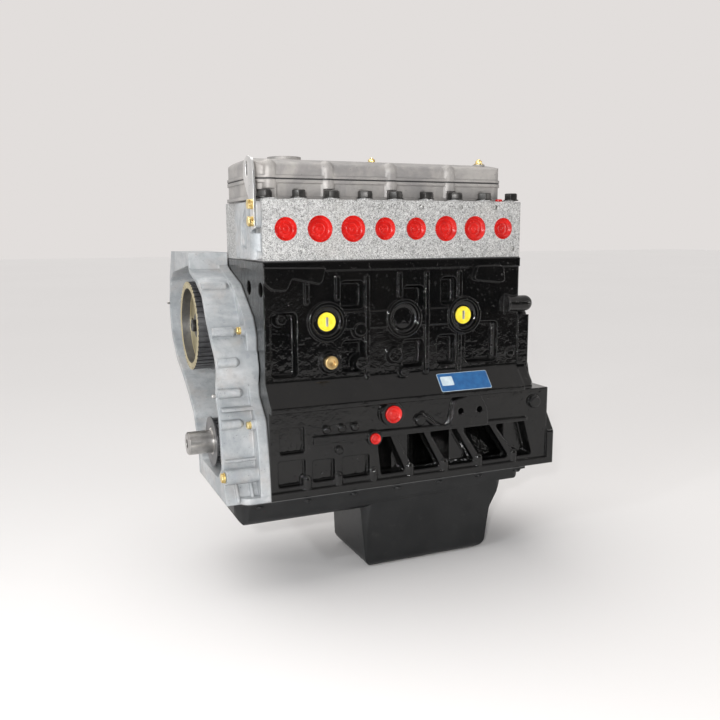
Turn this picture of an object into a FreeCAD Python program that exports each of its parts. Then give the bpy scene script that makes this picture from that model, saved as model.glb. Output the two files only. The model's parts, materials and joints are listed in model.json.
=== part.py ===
import FreeCAD, Part
import math
import os

V = FreeCAD.Vector
os.makedirs("parts", exist_ok=True)

# Four-cylinder in-line overhead-valve diesel engine, stripped of its auxiliaries.
# Millimetres. The origin is the centre of the crankshaft's rear flange face.
# +X points out of that face, +Z up, and -Y is the side with the manifold ports.

# Cylinders and crank train
bore = 90.47
stroke = 97.0
cylinder_pitch = 104.8
cylinder_count = 4
last_cylinder_x = -135.4
deck_height = 280.0
rod_length = 175.4
rod_width = 33.4
pin_height = 56.0
skirt_length = 40.0
piston_clearance = 0.06
gudgeon_radius = 15.08
gudgeon_length = 74.0
ring_height = 2.4
ring_depth = 4.2
crankpin_radius = 29.37
main_journal_radius = 31.75
web_thickness = 19.6
crankpin_gap = 34.8
web_radius = 80.0
web_pin_end_radius = 33.0
bearing_clearance = 0.03
shell_thickness = 2.0
seat_clearance = 0.05
side_clearance = 0.2

# Crankshaft ends
flange_radius = 52.0
flange_thickness = 40.0
flange_bolt_circle = 76.0
flange_bolt_count = 8
flange_bolt_radius = 5.25
flange_bolt_depth = 24.0
pilot_radius = 16.0
pilot_depth = 20.0
seal_journal_radius = 24.0
sprocket_seat_radius = 21.0
nose_radius = 18.0
nose_front_x = -610.0
key_width = 6.0
key_height = 3.0

# Cylinder block
block_front_x = -512.0
block_rear_x = -10.0
deck_rear_x = -77.0
column_rear_x = -57.0
column_top_z = 192.0
deck_half_width = 103.0
ledge_y = -130.0
ledge_top_z = 103.0
ledge_bottom_z = 62.0
ledge_nose = 9.0
rail_half_width = 121.0
rail_z = -70.0
rail_thickness = 11.0
cam_side_y = 141.0
cover_seat_top_z = 262.0
cover_seat_bottom_z = 228.0
chamber_floor_z = 226.0
chamber_top_z = 264.0
cam_side_bottom_z = 122.0
bay_wall = 21.0
bay_top_z = 98.0
bay_corner_radius = 28.0
bore_foot_z = 84.0
bay_clearance = 0.4
pocket_floor_y = -105.0
skirt_ridge_z = 9.0
skirt_pocket_spans = [(-340, -317, -333, -289), (-307, -259, -275, -226), (-250, -199, -212, -162),
                      (-190, -137, -148, -95), (-128, -68, -80, -50)]
skirt_window_spans = [(-497, -458, -2, 38), (-500, -457, -52, -12), (-446, -410, -50, -16),
                      (-398, -352, -50, -16)]
skirt_boss_places = [(-424, 30, 6), (-399, 30, 6), (-378, 30, 6), (-404, -4, 6), (-266, 30, 9),
                     (-50, 40, 11), (-447, -30, 0)][:6]
rail_boss_x = [-455, -404, -346, -282, -219, -155, -87]
side_panel_depth = 7.0
side_panel_spans = [(-393, -354, 208, 250), (-288, -252, 202, 240), (-222, -194, 208, 252),
                    (-391, -354, 112, 160), (-289, -252, 112, 156), (-228, -194, 112, 160),
                    (-503, -462, 110, 206), (-176, -116, 112, 178)]
side_rib_spans = [(-447, 217, 251), (-398, 222, 258), (-350, 100, 258), (-295, 222, 262),
                  (-248, 100, 262), (-189, 100, 262)]
side_boss_places = [(-363, 176, 10, 8), (-361, 125, 10, 8), (-305, 134, 11, 9), (-288, 106, 7, 7),
                    (-92, 124, 7, 5), (-486, 196, 7, 4)]
rear_flange_thickness = 12.0
rear_seal_radius = 60.0
cap_half_width = 58.0
cap_depth = 52.0
cap_bolt_offset = 46.0
cap_bolt_radius = 6.0

# Camshaft and valve gear
cam_y = 110.0
cam_z = 171.0
cam_journal_radius = 24.0
cam_shaft_radius = 13.5
cam_base_radius = 15.5
cam_nose_radius = 7.0
cam_lift = 7.0
cam_lobe_width = 14.0
cam_bush_thickness = 3.0
tappet_radius = 12.0
tappet_length = 36.0
pushrod_radius = 4.0
pushrod_hole_radius = 7.0
valve_offset = 24.5
valve_head_radius = 18.5
valve_stem_radius = 4.5
rocker_shaft_y = 30.0
rocker_shaft_rise = 31.0
rocker_shaft_radius = 9.5
pushrod_top_y = 60.0
rocker_width = 15.0
valve_tip_rise = 22.5
spring_height = 15.0
spring_radius = 13.5

# Cylinder head and covers
gasket_thickness = 1.5
head_front_x = -511.0
head_rear_x = -77.0
head_height = 87.5
port_pitch = 52.4
port_height = 45.2
port_radii = [17.0, 19.5, 19.5, 17.0, 17.0, 19.5, 19.5, 17.0]
port_mouth_depth = 12.0
port_bore_radius = 13.0
port_plug_depth = 9.0
head_bolt_radius = 6.0
head_bolt_across = 19.0
end_bolt_inset = 8.0
cover_front_x = -516.0
cover_rear_x = -92.0
cover_left_y = -74.0
cover_right_y = 80.0
cover_base_height = 30.0
cover_lid_height = 32.0
cover_wall = 4.0
cover_corner_radius = 22.0
cover_gasket_thickness = 2.0
flute_radius = 14.0
flute_proud = 5.0

# Timing case
case_front_x = -577.0
case_gasket_thickness = 1.0
case_back_thickness = 6.0
case_rear_flange = 15.0
case_boss_height = 6.0
case_base_thickness = 9.0
case_floor_z = -42.0
pump_y = 228.0
pump_z = 180.0
pump_bore_radius = 25.0
pump_bolt_circle = 86.0
pump_bolt_count = 3
pump_bolt_radius = 4.3

# Timing sprockets
belt_pitch = 9.525
crank_teeth = 24
cam_teeth = 48
belt_line_x = -558.0
sprocket_width = 28.0
tooth_depth = 3.4
flange_lip = 2.4
sprocket_front_lip = 4.0
cam_sprocket_overhang = 6.0
cam_dish_depth = 15.0

# Sump
sump_gasket_thickness = 1.0
sump_flange_thickness = 3.0
sump_wall = 2.5
sump_front_x = -571.0
sump_rear_x = -66.0
sump_bottom_z = -212.0
tray_front_z = -110.0
tray_rear_z = -92.0
tray_inset = 11.0
deep_front_x = -360.0
deep_rear_x = -122.0
deep_left_y = -107.0
deep_right_y = 40.0

# Derived places
cylinder_x = [last_cylinder_x - cylinder_pitch * i for i in range(cylinder_count - 1, -1, -1)]
main_x = [cylinder_x[0] - cylinder_pitch / 2 + cylinder_pitch * i for i in range(cylinder_count + 1)]
bore_radius = bore / 2
crank_throw = stroke / 2
throw_sign = [1, -1, -1, 1]
web_reach = crankpin_gap / 2 + web_thickness
bay_half_length = web_reach + bay_clearance * 2
shell_radius = main_journal_radius + bearing_clearance + shell_thickness
saddle_radius = shell_radius + seat_clearance
gasket_z = deck_height
head_z = deck_height + gasket_thickness
head_top_z = head_z + head_height
port_z = head_z + port_height
manifold_upper_z = port_z + 32.6
manifold_lower_z = port_z - 32.7
rocker_shaft_z = head_top_z + rocker_shaft_rise
valve_tip_z = head_top_z + valve_tip_rise
spring_top_z = head_top_z + spring_height
cover_split_z = head_top_z + cover_base_height
cover_top_z = cover_split_z + cover_lid_height
tray_half_width = rail_half_width - tray_inset
bay_half_width = rail_half_width - bay_wall
sump_bolt_y = rail_half_width - 4.5
port_x = [cylinder_x[0] - port_pitch / 2 + port_pitch * i for i in range(2 * cylinder_count)]
valve_x = [x + side * valve_offset for x in cylinder_x for side in (-1, 1)]
case_rear_x = block_front_x - case_gasket_thickness
sump_flange_z = rail_z - sump_gasket_thickness
pushrod_lean = math.atan2(cam_y - pushrod_top_y, rocker_shaft_z - cam_z)
cam_sprocket_radius = cam_teeth * belt_pitch / (2 * math.pi)
crank_sprocket_radius = crank_teeth * belt_pitch / (2 * math.pi)


# Shape helpers

def place(plane, a, b, level):
    if plane == "x":
        return V(level, a, b)
    if plane == "y":
        return V(a, level, b)
    return V(a, b, level)


def outline(points, plane, level):
    """A closed wire through (a, b, corner radius) points, with each corner rounded."""
    count = len(points)
    edges = []
    ends = []
    for i in range(count):
        here = V(points[i][0], points[i][1], 0)
        before = V(points[i - 1][0], points[i - 1][1], 0)
        after = V(points[(i + 1) % count][0], points[(i + 1) % count][1], 0)
        radius = points[i][2] if len(points[i]) > 2 else 0
        if radius == 0:
            ends.append((here, here, None))
            continue
        to_before = (before - here).normalize()
        to_after = (after - here).normalize()
        half = math.acos(max(-1, min(1, to_before.dot(to_after)))) / 2
        setback = radius / math.tan(half)
        start = here + to_before * setback
        end = here + to_after * setback
        centre = here + (to_before + to_after).normalize() * (radius / math.sin(half))
        middle = centre + (here - centre).normalize() * radius
        ends.append((start, end, middle))
    for i in range(count):
        start, end, middle = ends[i]
        following = ends[(i + 1) % count][0]
        if middle is not None:
            trio = [place(plane, p.x, p.y, level) for p in (start, middle, end)]
            edges.append(Part.Arc(*trio).toShape())
        if (following - end).Length > 1e-6:
            pair = [place(plane, p.x, p.y, level) for p in (end, following)]
            edges.append(Part.LineSegment(*pair).toShape())
    return Part.Wire(edges)


def prism(points, plane, low, high):
    direction = place(plane, 0, 0, high - low)
    return Part.Face(outline(points, plane, low)).extrude(direction)


def block(x0, x1, y0, y1, z0, z1):
    return Part.makeBox(x1 - x0, y1 - y0, z1 - z0, V(x0, y0, z0))


def rod_x(x0, x1, y, z, radius):
    return Part.makeCylinder(radius, x1 - x0, V(x0, y, z), V(1, 0, 0))


def rod_y(y0, y1, x, z, radius):
    return Part.makeCylinder(radius, y1 - y0, V(x, y0, z), V(0, 1, 0))


def rod_z(z0, z1, x, y, radius):
    return Part.makeCylinder(radius, z1 - z0, V(x, y, z0), V(0, 0, 1))


def rod_between(start, end, radius):
    return Part.makeCylinder(radius, (end - start).Length, start, end - start)


def hexagon_x(x0, x1, y, z, across):
    corners = [(y + across / math.sqrt(3) * math.cos(math.radians(60 * i)),
                z + across / math.sqrt(3) * math.sin(math.radians(60 * i))) for i in range(6)]
    return prism(corners, "x", x0, x1)


def hexagon_y(y0, y1, x, z, across):
    corners = [(x + across / math.sqrt(3) * math.cos(math.radians(60 * i)),
                z + across / math.sqrt(3) * math.sin(math.radians(60 * i))) for i in range(6)]
    return prism(corners, "y", y0, y1)


def hexagon_z(z0, z1, x, y, across):
    corners = [(x + across / math.sqrt(3) * math.cos(math.radians(60 * i)),
                y + across / math.sqrt(3) * math.sin(math.radians(60 * i))) for i in range(6)]
    return prism(corners, "z", z0, z1)


def joined(pieces):
    return pieces[0].multiFuse(pieces[1:]).removeSplitter()


def cut(body, tools):
    return body.cut(Part.makeCompound(tools))


def save(node, pieces):
    solids = []
    for piece in pieces:
        solids.extend(piece.Solids)
    shape = solids[0] if len(solids) == 1 else Part.makeCompound(solids)
    shape.exportStep("parts/" + node + ".step")
    print(node, len(solids), "solids,", round(shape.Volume / 1000), "cm3, valid", shape.isValid())


# Places that more than one piece uses

def tappet_axis(x, height):
    """The point at a height on the leaning line that tappet and pushrod share."""
    return V(x, cam_y - (height - cam_z) * math.tan(pushrod_lean), height)


head_bolt_x = [main_x[0] + cylinder_pitch / 2 * i for i in range(2 * cylinder_count + 1)]
head_bolt_x[0] += end_bolt_inset
head_bolt_x[-1] -= end_bolt_inset
head_bolt_left_y = [-84.0, -86.0]
head_bolt_right_y = 61.0
rear_corner_bolt = (-90.0, 90.0)
plug_boss_z = 190.5
plug_boss_radius = 30.0
core_plug_radius = 24.0
core_plug_x = [x + 34.0 for x in cylinder_x[:1]] + [main_x[2] + 4.0] + [main_x[3] + 6.0]
gallery_z = 190.5
drain_x = cylinder_x[0] + 38.0
drain_z = 129.8


def head_bolt_places():
    """Bolt places on the manifold side, then those on the pushrod side."""
    left = [(x, head_bolt_left_y[i % 2]) for i, x in enumerate(head_bolt_x)]
    right = [(x, head_bolt_right_y) for x in head_bolt_x[:-1:2]]
    return left + right + [rear_corner_bolt]


# Cylinder block

def block_outer():
    crown = prism([(-deck_half_width, deck_height), (deck_half_width, deck_height),
                   (deck_half_width, cover_seat_top_z), (cam_side_y, cover_seat_bottom_z, 4),
                   (cam_side_y, cam_side_bottom_z, 14), (rail_half_width - 5, ledge_top_z - 20),
                   (rail_half_width - 5, ledge_bottom_z), (ledge_y, ledge_bottom_z, 3),
                   (ledge_y, ledge_bottom_z + ledge_nose, 4), (-deck_half_width, ledge_top_z, 8)],
                  "x", block_front_x, deck_rear_x)
    column = prism([(-deck_half_width + 4, column_top_z, 8), (cam_side_y - 30, column_top_z, 8),
                    (rail_half_width - 6, ledge_bottom_z), (ledge_y + 4, ledge_bottom_z, 5),
                    (-deck_half_width + 4, ledge_top_z, 6)],
                   "x", deck_rear_x, column_rear_x)
    skirt = prism([(-rail_half_width + 4, ledge_bottom_z), (rail_half_width - 5, ledge_bottom_z),
                   (rail_half_width - 5, rail_z), (-rail_half_width + 4, rail_z)],
                  "x", block_front_x, block_rear_x - rear_flange_thickness)
    rail = block(block_front_x, block_rear_x, -rail_half_width, rail_half_width,
                 rail_z, rail_z + rail_thickness)
    flange = prism([(-rail_half_width, rail_z), (-rail_half_width, -14, 10), (-86, 36, 10),
                    (-62, 52, 10), (-46, 74, 12), (-40, 98, 12), (40, 98, 12), (46, 74, 12),
                    (62, 52, 10), (86, 36, 10), (rail_half_width, -14, 10), (rail_half_width, rail_z)],
                   "x", block_rear_x - rear_flange_thickness, block_rear_x)
    shoulder = prism([(deck_rear_x, ledge_bottom_z), (column_rear_x, ledge_bottom_z),
                      (block_rear_x - rear_flange_thickness, 20), (deck_rear_x, 20)],
                     "y", -rail_half_width + 4, rail_half_width - 5)
    hub = prism([(-60, 0), (-60, 66, 22), (60, 66, 22), (60, 0)],
                "x", column_rear_x, block_rear_x - rear_flange_thickness)
    return joined([crown, column, skirt, rail, flange, shoulder, hub])


def side_ribs():
    """Raised forms on the manifold side: plug bosses, the gallery band, webs and pads."""
    face = -deck_half_width
    pieces = []
    for x in core_plug_x:
        pieces.append(rod_y(face - 7, face + 1, x, plug_boss_z, plug_boss_radius))
    pieces.append(prism([(core_plug_x[0], gallery_z - 13), (core_plug_x[2], gallery_z - 13),
                         (core_plug_x[2], gallery_z + 13), (core_plug_x[0], gallery_z + 13)],
                        "y", face - 4, face + 1))
    pieces.append(prism([(block_front_x, deck_height), (deck_rear_x, deck_height),
                         (deck_rear_x, deck_height - 14), (block_front_x, deck_height - 14)],
                        "y", face - 3, face + 1))
    pieces.append(prism([(block_front_x, 272), (block_front_x, 250), (-500, 240, 5), (-478, 238, 5),
                         (-470, 256, 5), (-424, 246, 6), (-418, 270)], "y", face - 6, face + 1))
    for x, low, high in side_rib_spans:
        pieces.append(prism([(x - 3.5, low, 3), (x + 3.5, low, 3), (x + 3.5, high, 3), (x - 3.5, high, 3)],
                            "y", face - 4.5, face + 1))
    for x, z, radius, depth in side_boss_places + [(drain_x, drain_z, 15, 6)]:
        pieces.append(rod_y(face - depth, face + side_panel_depth + 1, x, z, radius))
        pieces.append(Part.makeCone(radius + 3, radius, depth - 2, V(x, face, z), V(0, -1, 0)))
    pieces.append(rod_x(-104, column_rear_x - 8, face, 205, 13))
    pieces.append(Part.makeSphere(13, V(column_rear_x - 8, face, 205)))
    pieces.append(rod_x(-104, -100, face, 205, 16))
    pieces.append(prism([(-168, 246, 6), (-160, 268, 6), (-112, 268, 6), (-108, 240, 6)],
                        "y", face - 9, face + 1))
    pieces.append(prism([(column_rear_x - 20, ledge_top_z), (column_rear_x, ledge_top_z),
                         (column_rear_x, column_top_z - 6), (column_rear_x - 20, column_top_z - 6)],
                        "y", face - 3, face + 6))
    return pieces


def side_panels():
    """Shallow panels between the cylinder columns of the manifold side."""
    cuts = []
    for x0, x1, z0, z1 in side_panel_spans:
        cuts.append(prism([(x0, z0, 8), (x1, z0, 8), (x1, z1, 8), (x0, z1, 8)],
                          "y", -deck_half_width - 1, -deck_half_width + side_panel_depth))
    return cuts


def skirt_pockets():
    """Cast pockets in the skirt, with slanting ribs left between the five long ones."""
    cuts = []
    low = rail_z + rail_thickness + 7
    for top_x0, top_x1, foot_x0, foot_x1 in skirt_pocket_spans:
        cuts.append(prism([(top_x0, skirt_ridge_z, 5), (top_x1, skirt_ridge_z, 5), (foot_x1, low, 5),
                           (foot_x0, low, 5)], "y", -rail_half_width - 1, pocket_floor_y))
    for x0, x1, z0, z1 in skirt_window_spans:
        cuts.append(prism([(x0, z0, 4), (x1, z0, 4), (x1, z1, 4), (x0, z1, 4)],
                          "y", -rail_half_width - 1, pocket_floor_y - 3))
    return cuts


def skirt_bosses():
    face = -rail_half_width + 5
    bosses = [rod_y(face - 10, face + 1, -316, 45, 19), rod_y(face - 8, face + 1, -346, 9, 12)]
    bosses.append(prism([(-214, 14, 6), (-206, 58, 10), (-160, 66, 10), (-146, 40, 8), (-142, 10, 6)],
                        "y", face - 8, face + 1))
    bosses.append(prism([(-445, skirt_ridge_z), (-64, skirt_ridge_z), (-64, skirt_ridge_z + 6, 3),
                         (-445, skirt_ridge_z + 12, 3)], "y", face - 5, face + 1))
    for x, z, radius in skirt_boss_places:
        bosses.append(rod_y(face - 6, face + 1, x, z, radius))
        bosses.append(Part.makeCone(radius, radius - 2, 2, V(x, face - 6, z), V(0, -1, 0)))
    for x in rail_boss_x:
        bosses.append(rod_z(rail_z + rail_thickness - 1, rail_z + rail_thickness + 14, x, face + 3, 8))
        bosses.append(Part.makeSphere(8, V(x, face + 3, rail_z + rail_thickness + 14)))
    for x0, z0, x1, z1 in ((-192, 56, -216, 14), (-262, 38, -228, 12)):
        bosses.append(rod_between(V(x0, face, z0), V(x1, face, z1), 5))
        bosses.append(Part.makeSphere(5, V(x0, face, z0)))
        bosses.append(Part.makeSphere(5, V(x1, face, z1)))
    return bosses


def crankcase_bay(x):
    return prism([(-bay_half_width, rail_z - 1), (bay_half_width, rail_z - 1),
                  (bay_half_width, bay_top_z, bay_corner_radius),
                  (-bay_half_width, bay_top_z, bay_corner_radius)],
                 "x", x - bay_half_length, x + bay_half_length)


def rod_notch(x):
    """Room at the foot of a cylinder for the swinging connecting rod."""
    return prism([(-56, bay_top_z - 2), (56, bay_top_z - 2), (48, bay_top_z + 40), (-48, bay_top_z + 40)],
                 "x", x - 13, x + 13)


def cylinder_block():
    walls = cut(block_outer(), side_panels() + skirt_pockets())
    body = joined([walls] + side_ribs() + skirt_bosses())
    front_x = block_front_x - 1
    tools = [crankcase_bay(x) for x in cylinder_x]
    tools += [rod_z(bore_foot_z, deck_height + 1, x, 0, bore_radius) for x in cylinder_x]
    tools += [rod_notch(x) for x in cylinder_x]
    rear_wall = block_rear_x - rear_flange_thickness - 12
    tools.append(rod_x(front_x, rear_wall, 0, 0, saddle_radius))
    tools.append(block(front_x, cylinder_x[0], -cap_half_width - seat_clearance,
                       cap_half_width + seat_clearance, rail_z - 1, 0))
    tools.append(block(cylinder_x[0], main_x[4] + 20.5, -cap_half_width - seat_clearance,
                       cap_half_width + seat_clearance, rail_z - 1, 0))
    tools.append(prism([(-62, -56, 10), (62, -56, 10), (62, 58, 20), (-62, 58, 20)],
                       "x", main_x[4] + 20, rear_wall))
    tools.append(rod_x(rear_wall - 1, 0, 0, 0, rear_seal_radius))
    tools.append(rod_x(front_x, block_rear_x - 60, cam_y, cam_z, cam_bush_radius()))
    for x0, x1 in chamber_spans():
        tools.append(prism(chamber_section(), "x", x0, x1))
    for x in valve_x:
        low = tappet_axis(x, cam_z)
        tools.append(rod_between(low, tappet_axis(x, chamber_floor_z + 3), tappet_radius + bearing_clearance))
        tools.append(rod_between(low, tappet_axis(x, deck_height + 4), pushrod_hole_radius))
    for x, y in head_bolt_places():
        tools.append(rod_z(deck_height - 70, deck_height + 1, x, y, head_bolt_radius + 0.3))
    for x in main_x:
        for side in (-1, 1):
            tools.append(rod_z(-1, 62, main_cap_x(x), side * cap_bolt_offset, cap_bolt_radius + 0.3))
    for x in core_plug_x:
        tools.append(rod_y(-deck_half_width - 8, -deck_half_width + 12, x, plug_boss_z,
                           core_plug_radius + seat_clearance))
    tools.append(rod_y(-deck_half_width - 9, -deck_half_width + 14, drain_x, drain_z, 7.1))
    tools.append(rod_y(-rail_half_width - 8, -rail_half_width + 16, -316, 45, 12.1))
    tools.append(rod_y(-rail_half_width - 8, -rail_half_width + 12, -346, 9, 7.1))
    tools += [rod_y(-rail_half_width - 4, -rail_half_width + 16, x, mount_bolt_z, mount_bolt_radius)
              for x in mount_bolt_x]
    tools += flange_holes()
    tools += [rod_x(front_x, block_front_x + 20, y, 240, 11) for y in (-28, -94 + 4)]
    tools += [rod_x(front_x, block_front_x + 18, y, z, 4.3) for y, z in case_screw_places()]
    return cut(body, tools)


mount_bolt_x = [-195.0, -160.0]
mount_bolt_z = 38.0
mount_bolt_radius = 5.2
bellhousing_y = 105.0
bellhousing_z = -40.0
chamber_wall = 7.0


def chamber_spans():
    """The tappet chamber is in two halves, each with its own cover."""
    return [(cylinder_x[0] - 44, cylinder_x[1] + 45), (cylinder_x[2] - 45, cylinder_x[3] + 44)]


def cover_slope():
    """Start, direction and outward normal of the sloping face that the tappet covers close."""
    top = V(0, deck_half_width, cover_seat_top_z)
    down = V(0, cam_side_y, cover_seat_bottom_z) - top
    length = down.Length
    down = down.normalize()
    return top, down, V(0, -down.z, down.y), length


def chamber_section():
    top, down, normal, length = cover_slope()
    high = top + down * chamber_wall + normal * 3
    low = top + down * (length - chamber_wall) + normal * 3
    return [(cam_y - 28, chamber_floor_z), (low.y - 10, chamber_floor_z), (low.y, low.z), (high.y, high.z),
            (deck_half_width - 4, chamber_top_z), (cam_y - 28, chamber_top_z)]


def flange_holes():
    """Tapped holes for the flywheel housing."""
    return [rod_x(block_rear_x - rear_flange_thickness - 8, 0, sy * bellhousing_y, z, 5.2)
            for sy in (-1, 1) for z in (bellhousing_z, bellhousing_z + 30)]


def cam_bush_radius():
    return cam_journal_radius + bearing_clearance + cam_bush_thickness + seat_clearance


def main_cap_x(x):
    """The middle of a main bearing, where the end ones stay inside the block's faces."""
    if x == main_x[0]:
        return (block_front_x + cylinder_x[0] - bay_half_length) / 2
    if x == main_x[4]:
        return (cylinder_x[3] + bay_half_length + main_x[4] + 20) / 2
    return x


def main_cap_length(x):
    if x == main_x[0]:
        return cylinder_x[0] - bay_half_length - block_front_x
    if x == main_x[4]:
        return main_x[4] + 20 - cylinder_x[3] - bay_half_length
    return cylinder_pitch - 2 * bay_half_length


def main_caps():
    caps = []
    for x in main_x:
        middle = main_cap_x(x)
        half = main_cap_length(x) / 2
        cap = prism([(-cap_half_width, 0), (-cap_half_width, -26, 6), (-38, -cap_depth, 14),
                     (38, -cap_depth, 14), (cap_half_width, -26, 6), (cap_half_width, 0)],
                    "x", middle - half, middle + half)
        tools = [rod_x(middle - half - 1, middle + half + 1, 0, 0, saddle_radius)]
        for side in (-1, 1):
            tools.append(rod_z(-cap_depth - 1, 1, middle, side * cap_bolt_offset, cap_bolt_radius + 0.3))
            tools.append(rod_z(-cap_depth - 1, -22, middle, side * cap_bolt_offset, 12))
        caps.append(cut(cap, tools))
    return caps


def main_cap_bolts():
    bolts = []
    for x in main_x:
        for side in (-1, 1):
            middle = main_cap_x(x)
            shank = rod_z(-23, 52, middle, side * cap_bolt_offset, cap_bolt_radius)
            head = hexagon_z(-32, -22, middle, side * cap_bolt_offset, 19)
            bolts.append(joined([shank, head]))
    return bolts


def half_shells():
    shells = []
    for x in main_x:
        middle = main_cap_x(x)
        half = main_cap_length(x) / 2 - 1
        ring = rod_x(middle - half, middle + half, 0, 0, shell_radius)
        ring = ring.cut(rod_x(middle - half - 1, middle + half + 1, 0, 0,
                              main_journal_radius + bearing_clearance))
        span = shell_radius + 1
        upper = block(middle - half, middle + half, -span, span, 0, span)
        lower = block(middle - half, middle + half, -span, span, -span, 0)
        shells += [ring.common(upper), ring.common(lower)]
    return shells


def cam_bushes():
    bushes = []
    for x in main_x:
        middle = main_cap_x(x) if x != main_x[4] else deck_rear_x - 11
        outer = rod_x(middle - 9, middle + 9, cam_y, cam_z,
                      cam_journal_radius + bearing_clearance + cam_bush_thickness)
        bushes.append(outer.cut(rod_x(middle - 10, middle + 10, cam_y, cam_z,
                                      cam_journal_radius + bearing_clearance)))
    return bushes


# Crankshaft: the crankpins are solids of their own, carried in the rods' big ends

def web(x0, x1, sign):
    """One crank web: a rounded end round the pin and a counterweight across from it."""
    arm = prism([(-36, -sign * 20), (-web_pin_end_radius, sign * crank_throw),
                 (web_pin_end_radius, sign * crank_throw), (36, -sign * 20)], "x", x0, x1)
    end = rod_x(x0, x1, 0, sign * crank_throw, web_pin_end_radius)
    disc = rod_x(x0, x1, 0, 0, web_radius)
    wedge = prism([(0, 0), (-66, -sign * 30), (-66, -sign * 100), (66, -sign * 100), (66, -sign * 30)],
                  "x", x0, x1)
    return joined([arm, end, disc.common(wedge)])


def crank_sections():
    sections = []
    for i in range(cylinder_count + 1):
        pieces = []
        start = cylinder_x[i - 1] + crankpin_gap / 2 if i > 0 else None
        stop = cylinder_x[i] - crankpin_gap / 2 if i < cylinder_count else None
        if start is not None:
            pieces.append(web(start, start + web_thickness, throw_sign[i - 1]))
        if stop is not None:
            pieces.append(web(stop - web_thickness, stop, throw_sign[i]))
        journal_start = start + web_thickness / 2 if start is not None else block_front_x + 0.5
        journal_stop = stop - web_thickness / 2 if stop is not None else -flange_thickness
        pieces.append(rod_x(journal_start, journal_stop, 0, 0, main_journal_radius))
        if i == 0:
            pieces.append(rod_x(case_rear_x - case_back_thickness - 1, block_front_x + 1, 0, 0,
                                seal_journal_radius))
            pieces.append(rod_x(sprocket_front_x(), block_front_x, 0, 0, sprocket_seat_radius))
            nose = rod_x(nose_front_x + 2, block_front_x, 0, 0, nose_radius)
            tip = Part.makeCone(nose_radius - 2, nose_radius, 2, V(nose_front_x, 0, 0), V(1, 0, 0))
            pieces += [nose, tip]
        if i == cylinder_count:
            pieces.append(rod_x(-flange_thickness, 0, 0, 0, flange_radius))
        sections.append(joined(pieces))
    keyway = block(nose_front_x - 1, sprocket_front_x() - 2, -key_width / 2, key_width / 2,
                   nose_radius - key_height, nose_radius + 5)
    seat = block(sprocket_front_x() - 2, sprocket_front_x() + 20, -key_width / 2, key_width / 2,
                 sprocket_seat_radius - key_height, sprocket_seat_radius + 5)
    centre = rod_x(nose_front_x - 1, nose_front_x + 30, 0, 0, 7)
    sections[0] = cut(sections[0], [keyway, seat, centre])
    holes = [rod_x(-pilot_depth, 1, 0, 0, pilot_radius)]
    for i in range(flange_bolt_count):
        angle = 2 * math.pi * i / flange_bolt_count
        holes.append(rod_x(-flange_bolt_depth, 1, flange_bolt_circle / 2 * math.cos(angle),
                           flange_bolt_circle / 2 * math.sin(angle), flange_bolt_radius))
    sections[-1] = cut(sections[-1], holes)
    return sections


def sprocket_front_x():
    return belt_line_x - sprocket_width / 2


def toothed_wheel(radius, teeth, x0, x1):
    """A belt sprocket's toothed band, with a square-cut groove between its teeth."""
    wheel = rod_x(x0, x1, 0, 0, radius)
    groove_width = belt_pitch * 0.36
    groove = block(x0 - 1, x1 + 1, -groove_width / 2, groove_width / 2, radius - tooth_depth, radius + 2)
    grooves = []
    for i in range(teeth):
        turned = groove.copy()
        turned.rotate(V(0, 0, 0), V(1, 0, 0), 360.0 * i / teeth)
        grooves.append(turned)
    return cut(wheel, grooves)


def crank_sprocket():
    front = sprocket_front_x()
    rear = front + sprocket_width
    wheel = toothed_wheel(crank_sprocket_radius, crank_teeth, front + sprocket_front_lip, rear)
    lip = rod_x(front, front + 2, 0, 0, crank_sprocket_radius + flange_lip)
    hub = rod_x(front, case_rear_x - case_back_thickness - 1.5, 0, 0, 29)
    body = joined([wheel, lip, hub, rod_x(front, front + sprocket_front_lip + 1, 0, 0,
                                          crank_sprocket_radius - tooth_depth)])
    slot = block(front - 1, front + 21, -key_width / 2, key_width / 2, 0, sprocket_seat_radius + key_height)
    return cut(body, [rod_x(front - 1, rear + 40, 0, 0, sprocket_seat_radius + seat_clearance), slot])


def crank_key():
    front = sprocket_front_x()
    return block(front + 1, front + 19, -key_width / 2 + seat_clearance, key_width / 2 - seat_clearance,
                 sprocket_seat_radius - key_height + seat_clearance,
                 sprocket_seat_radius + key_height - seat_clearance)


# Connecting rods, pistons

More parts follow.
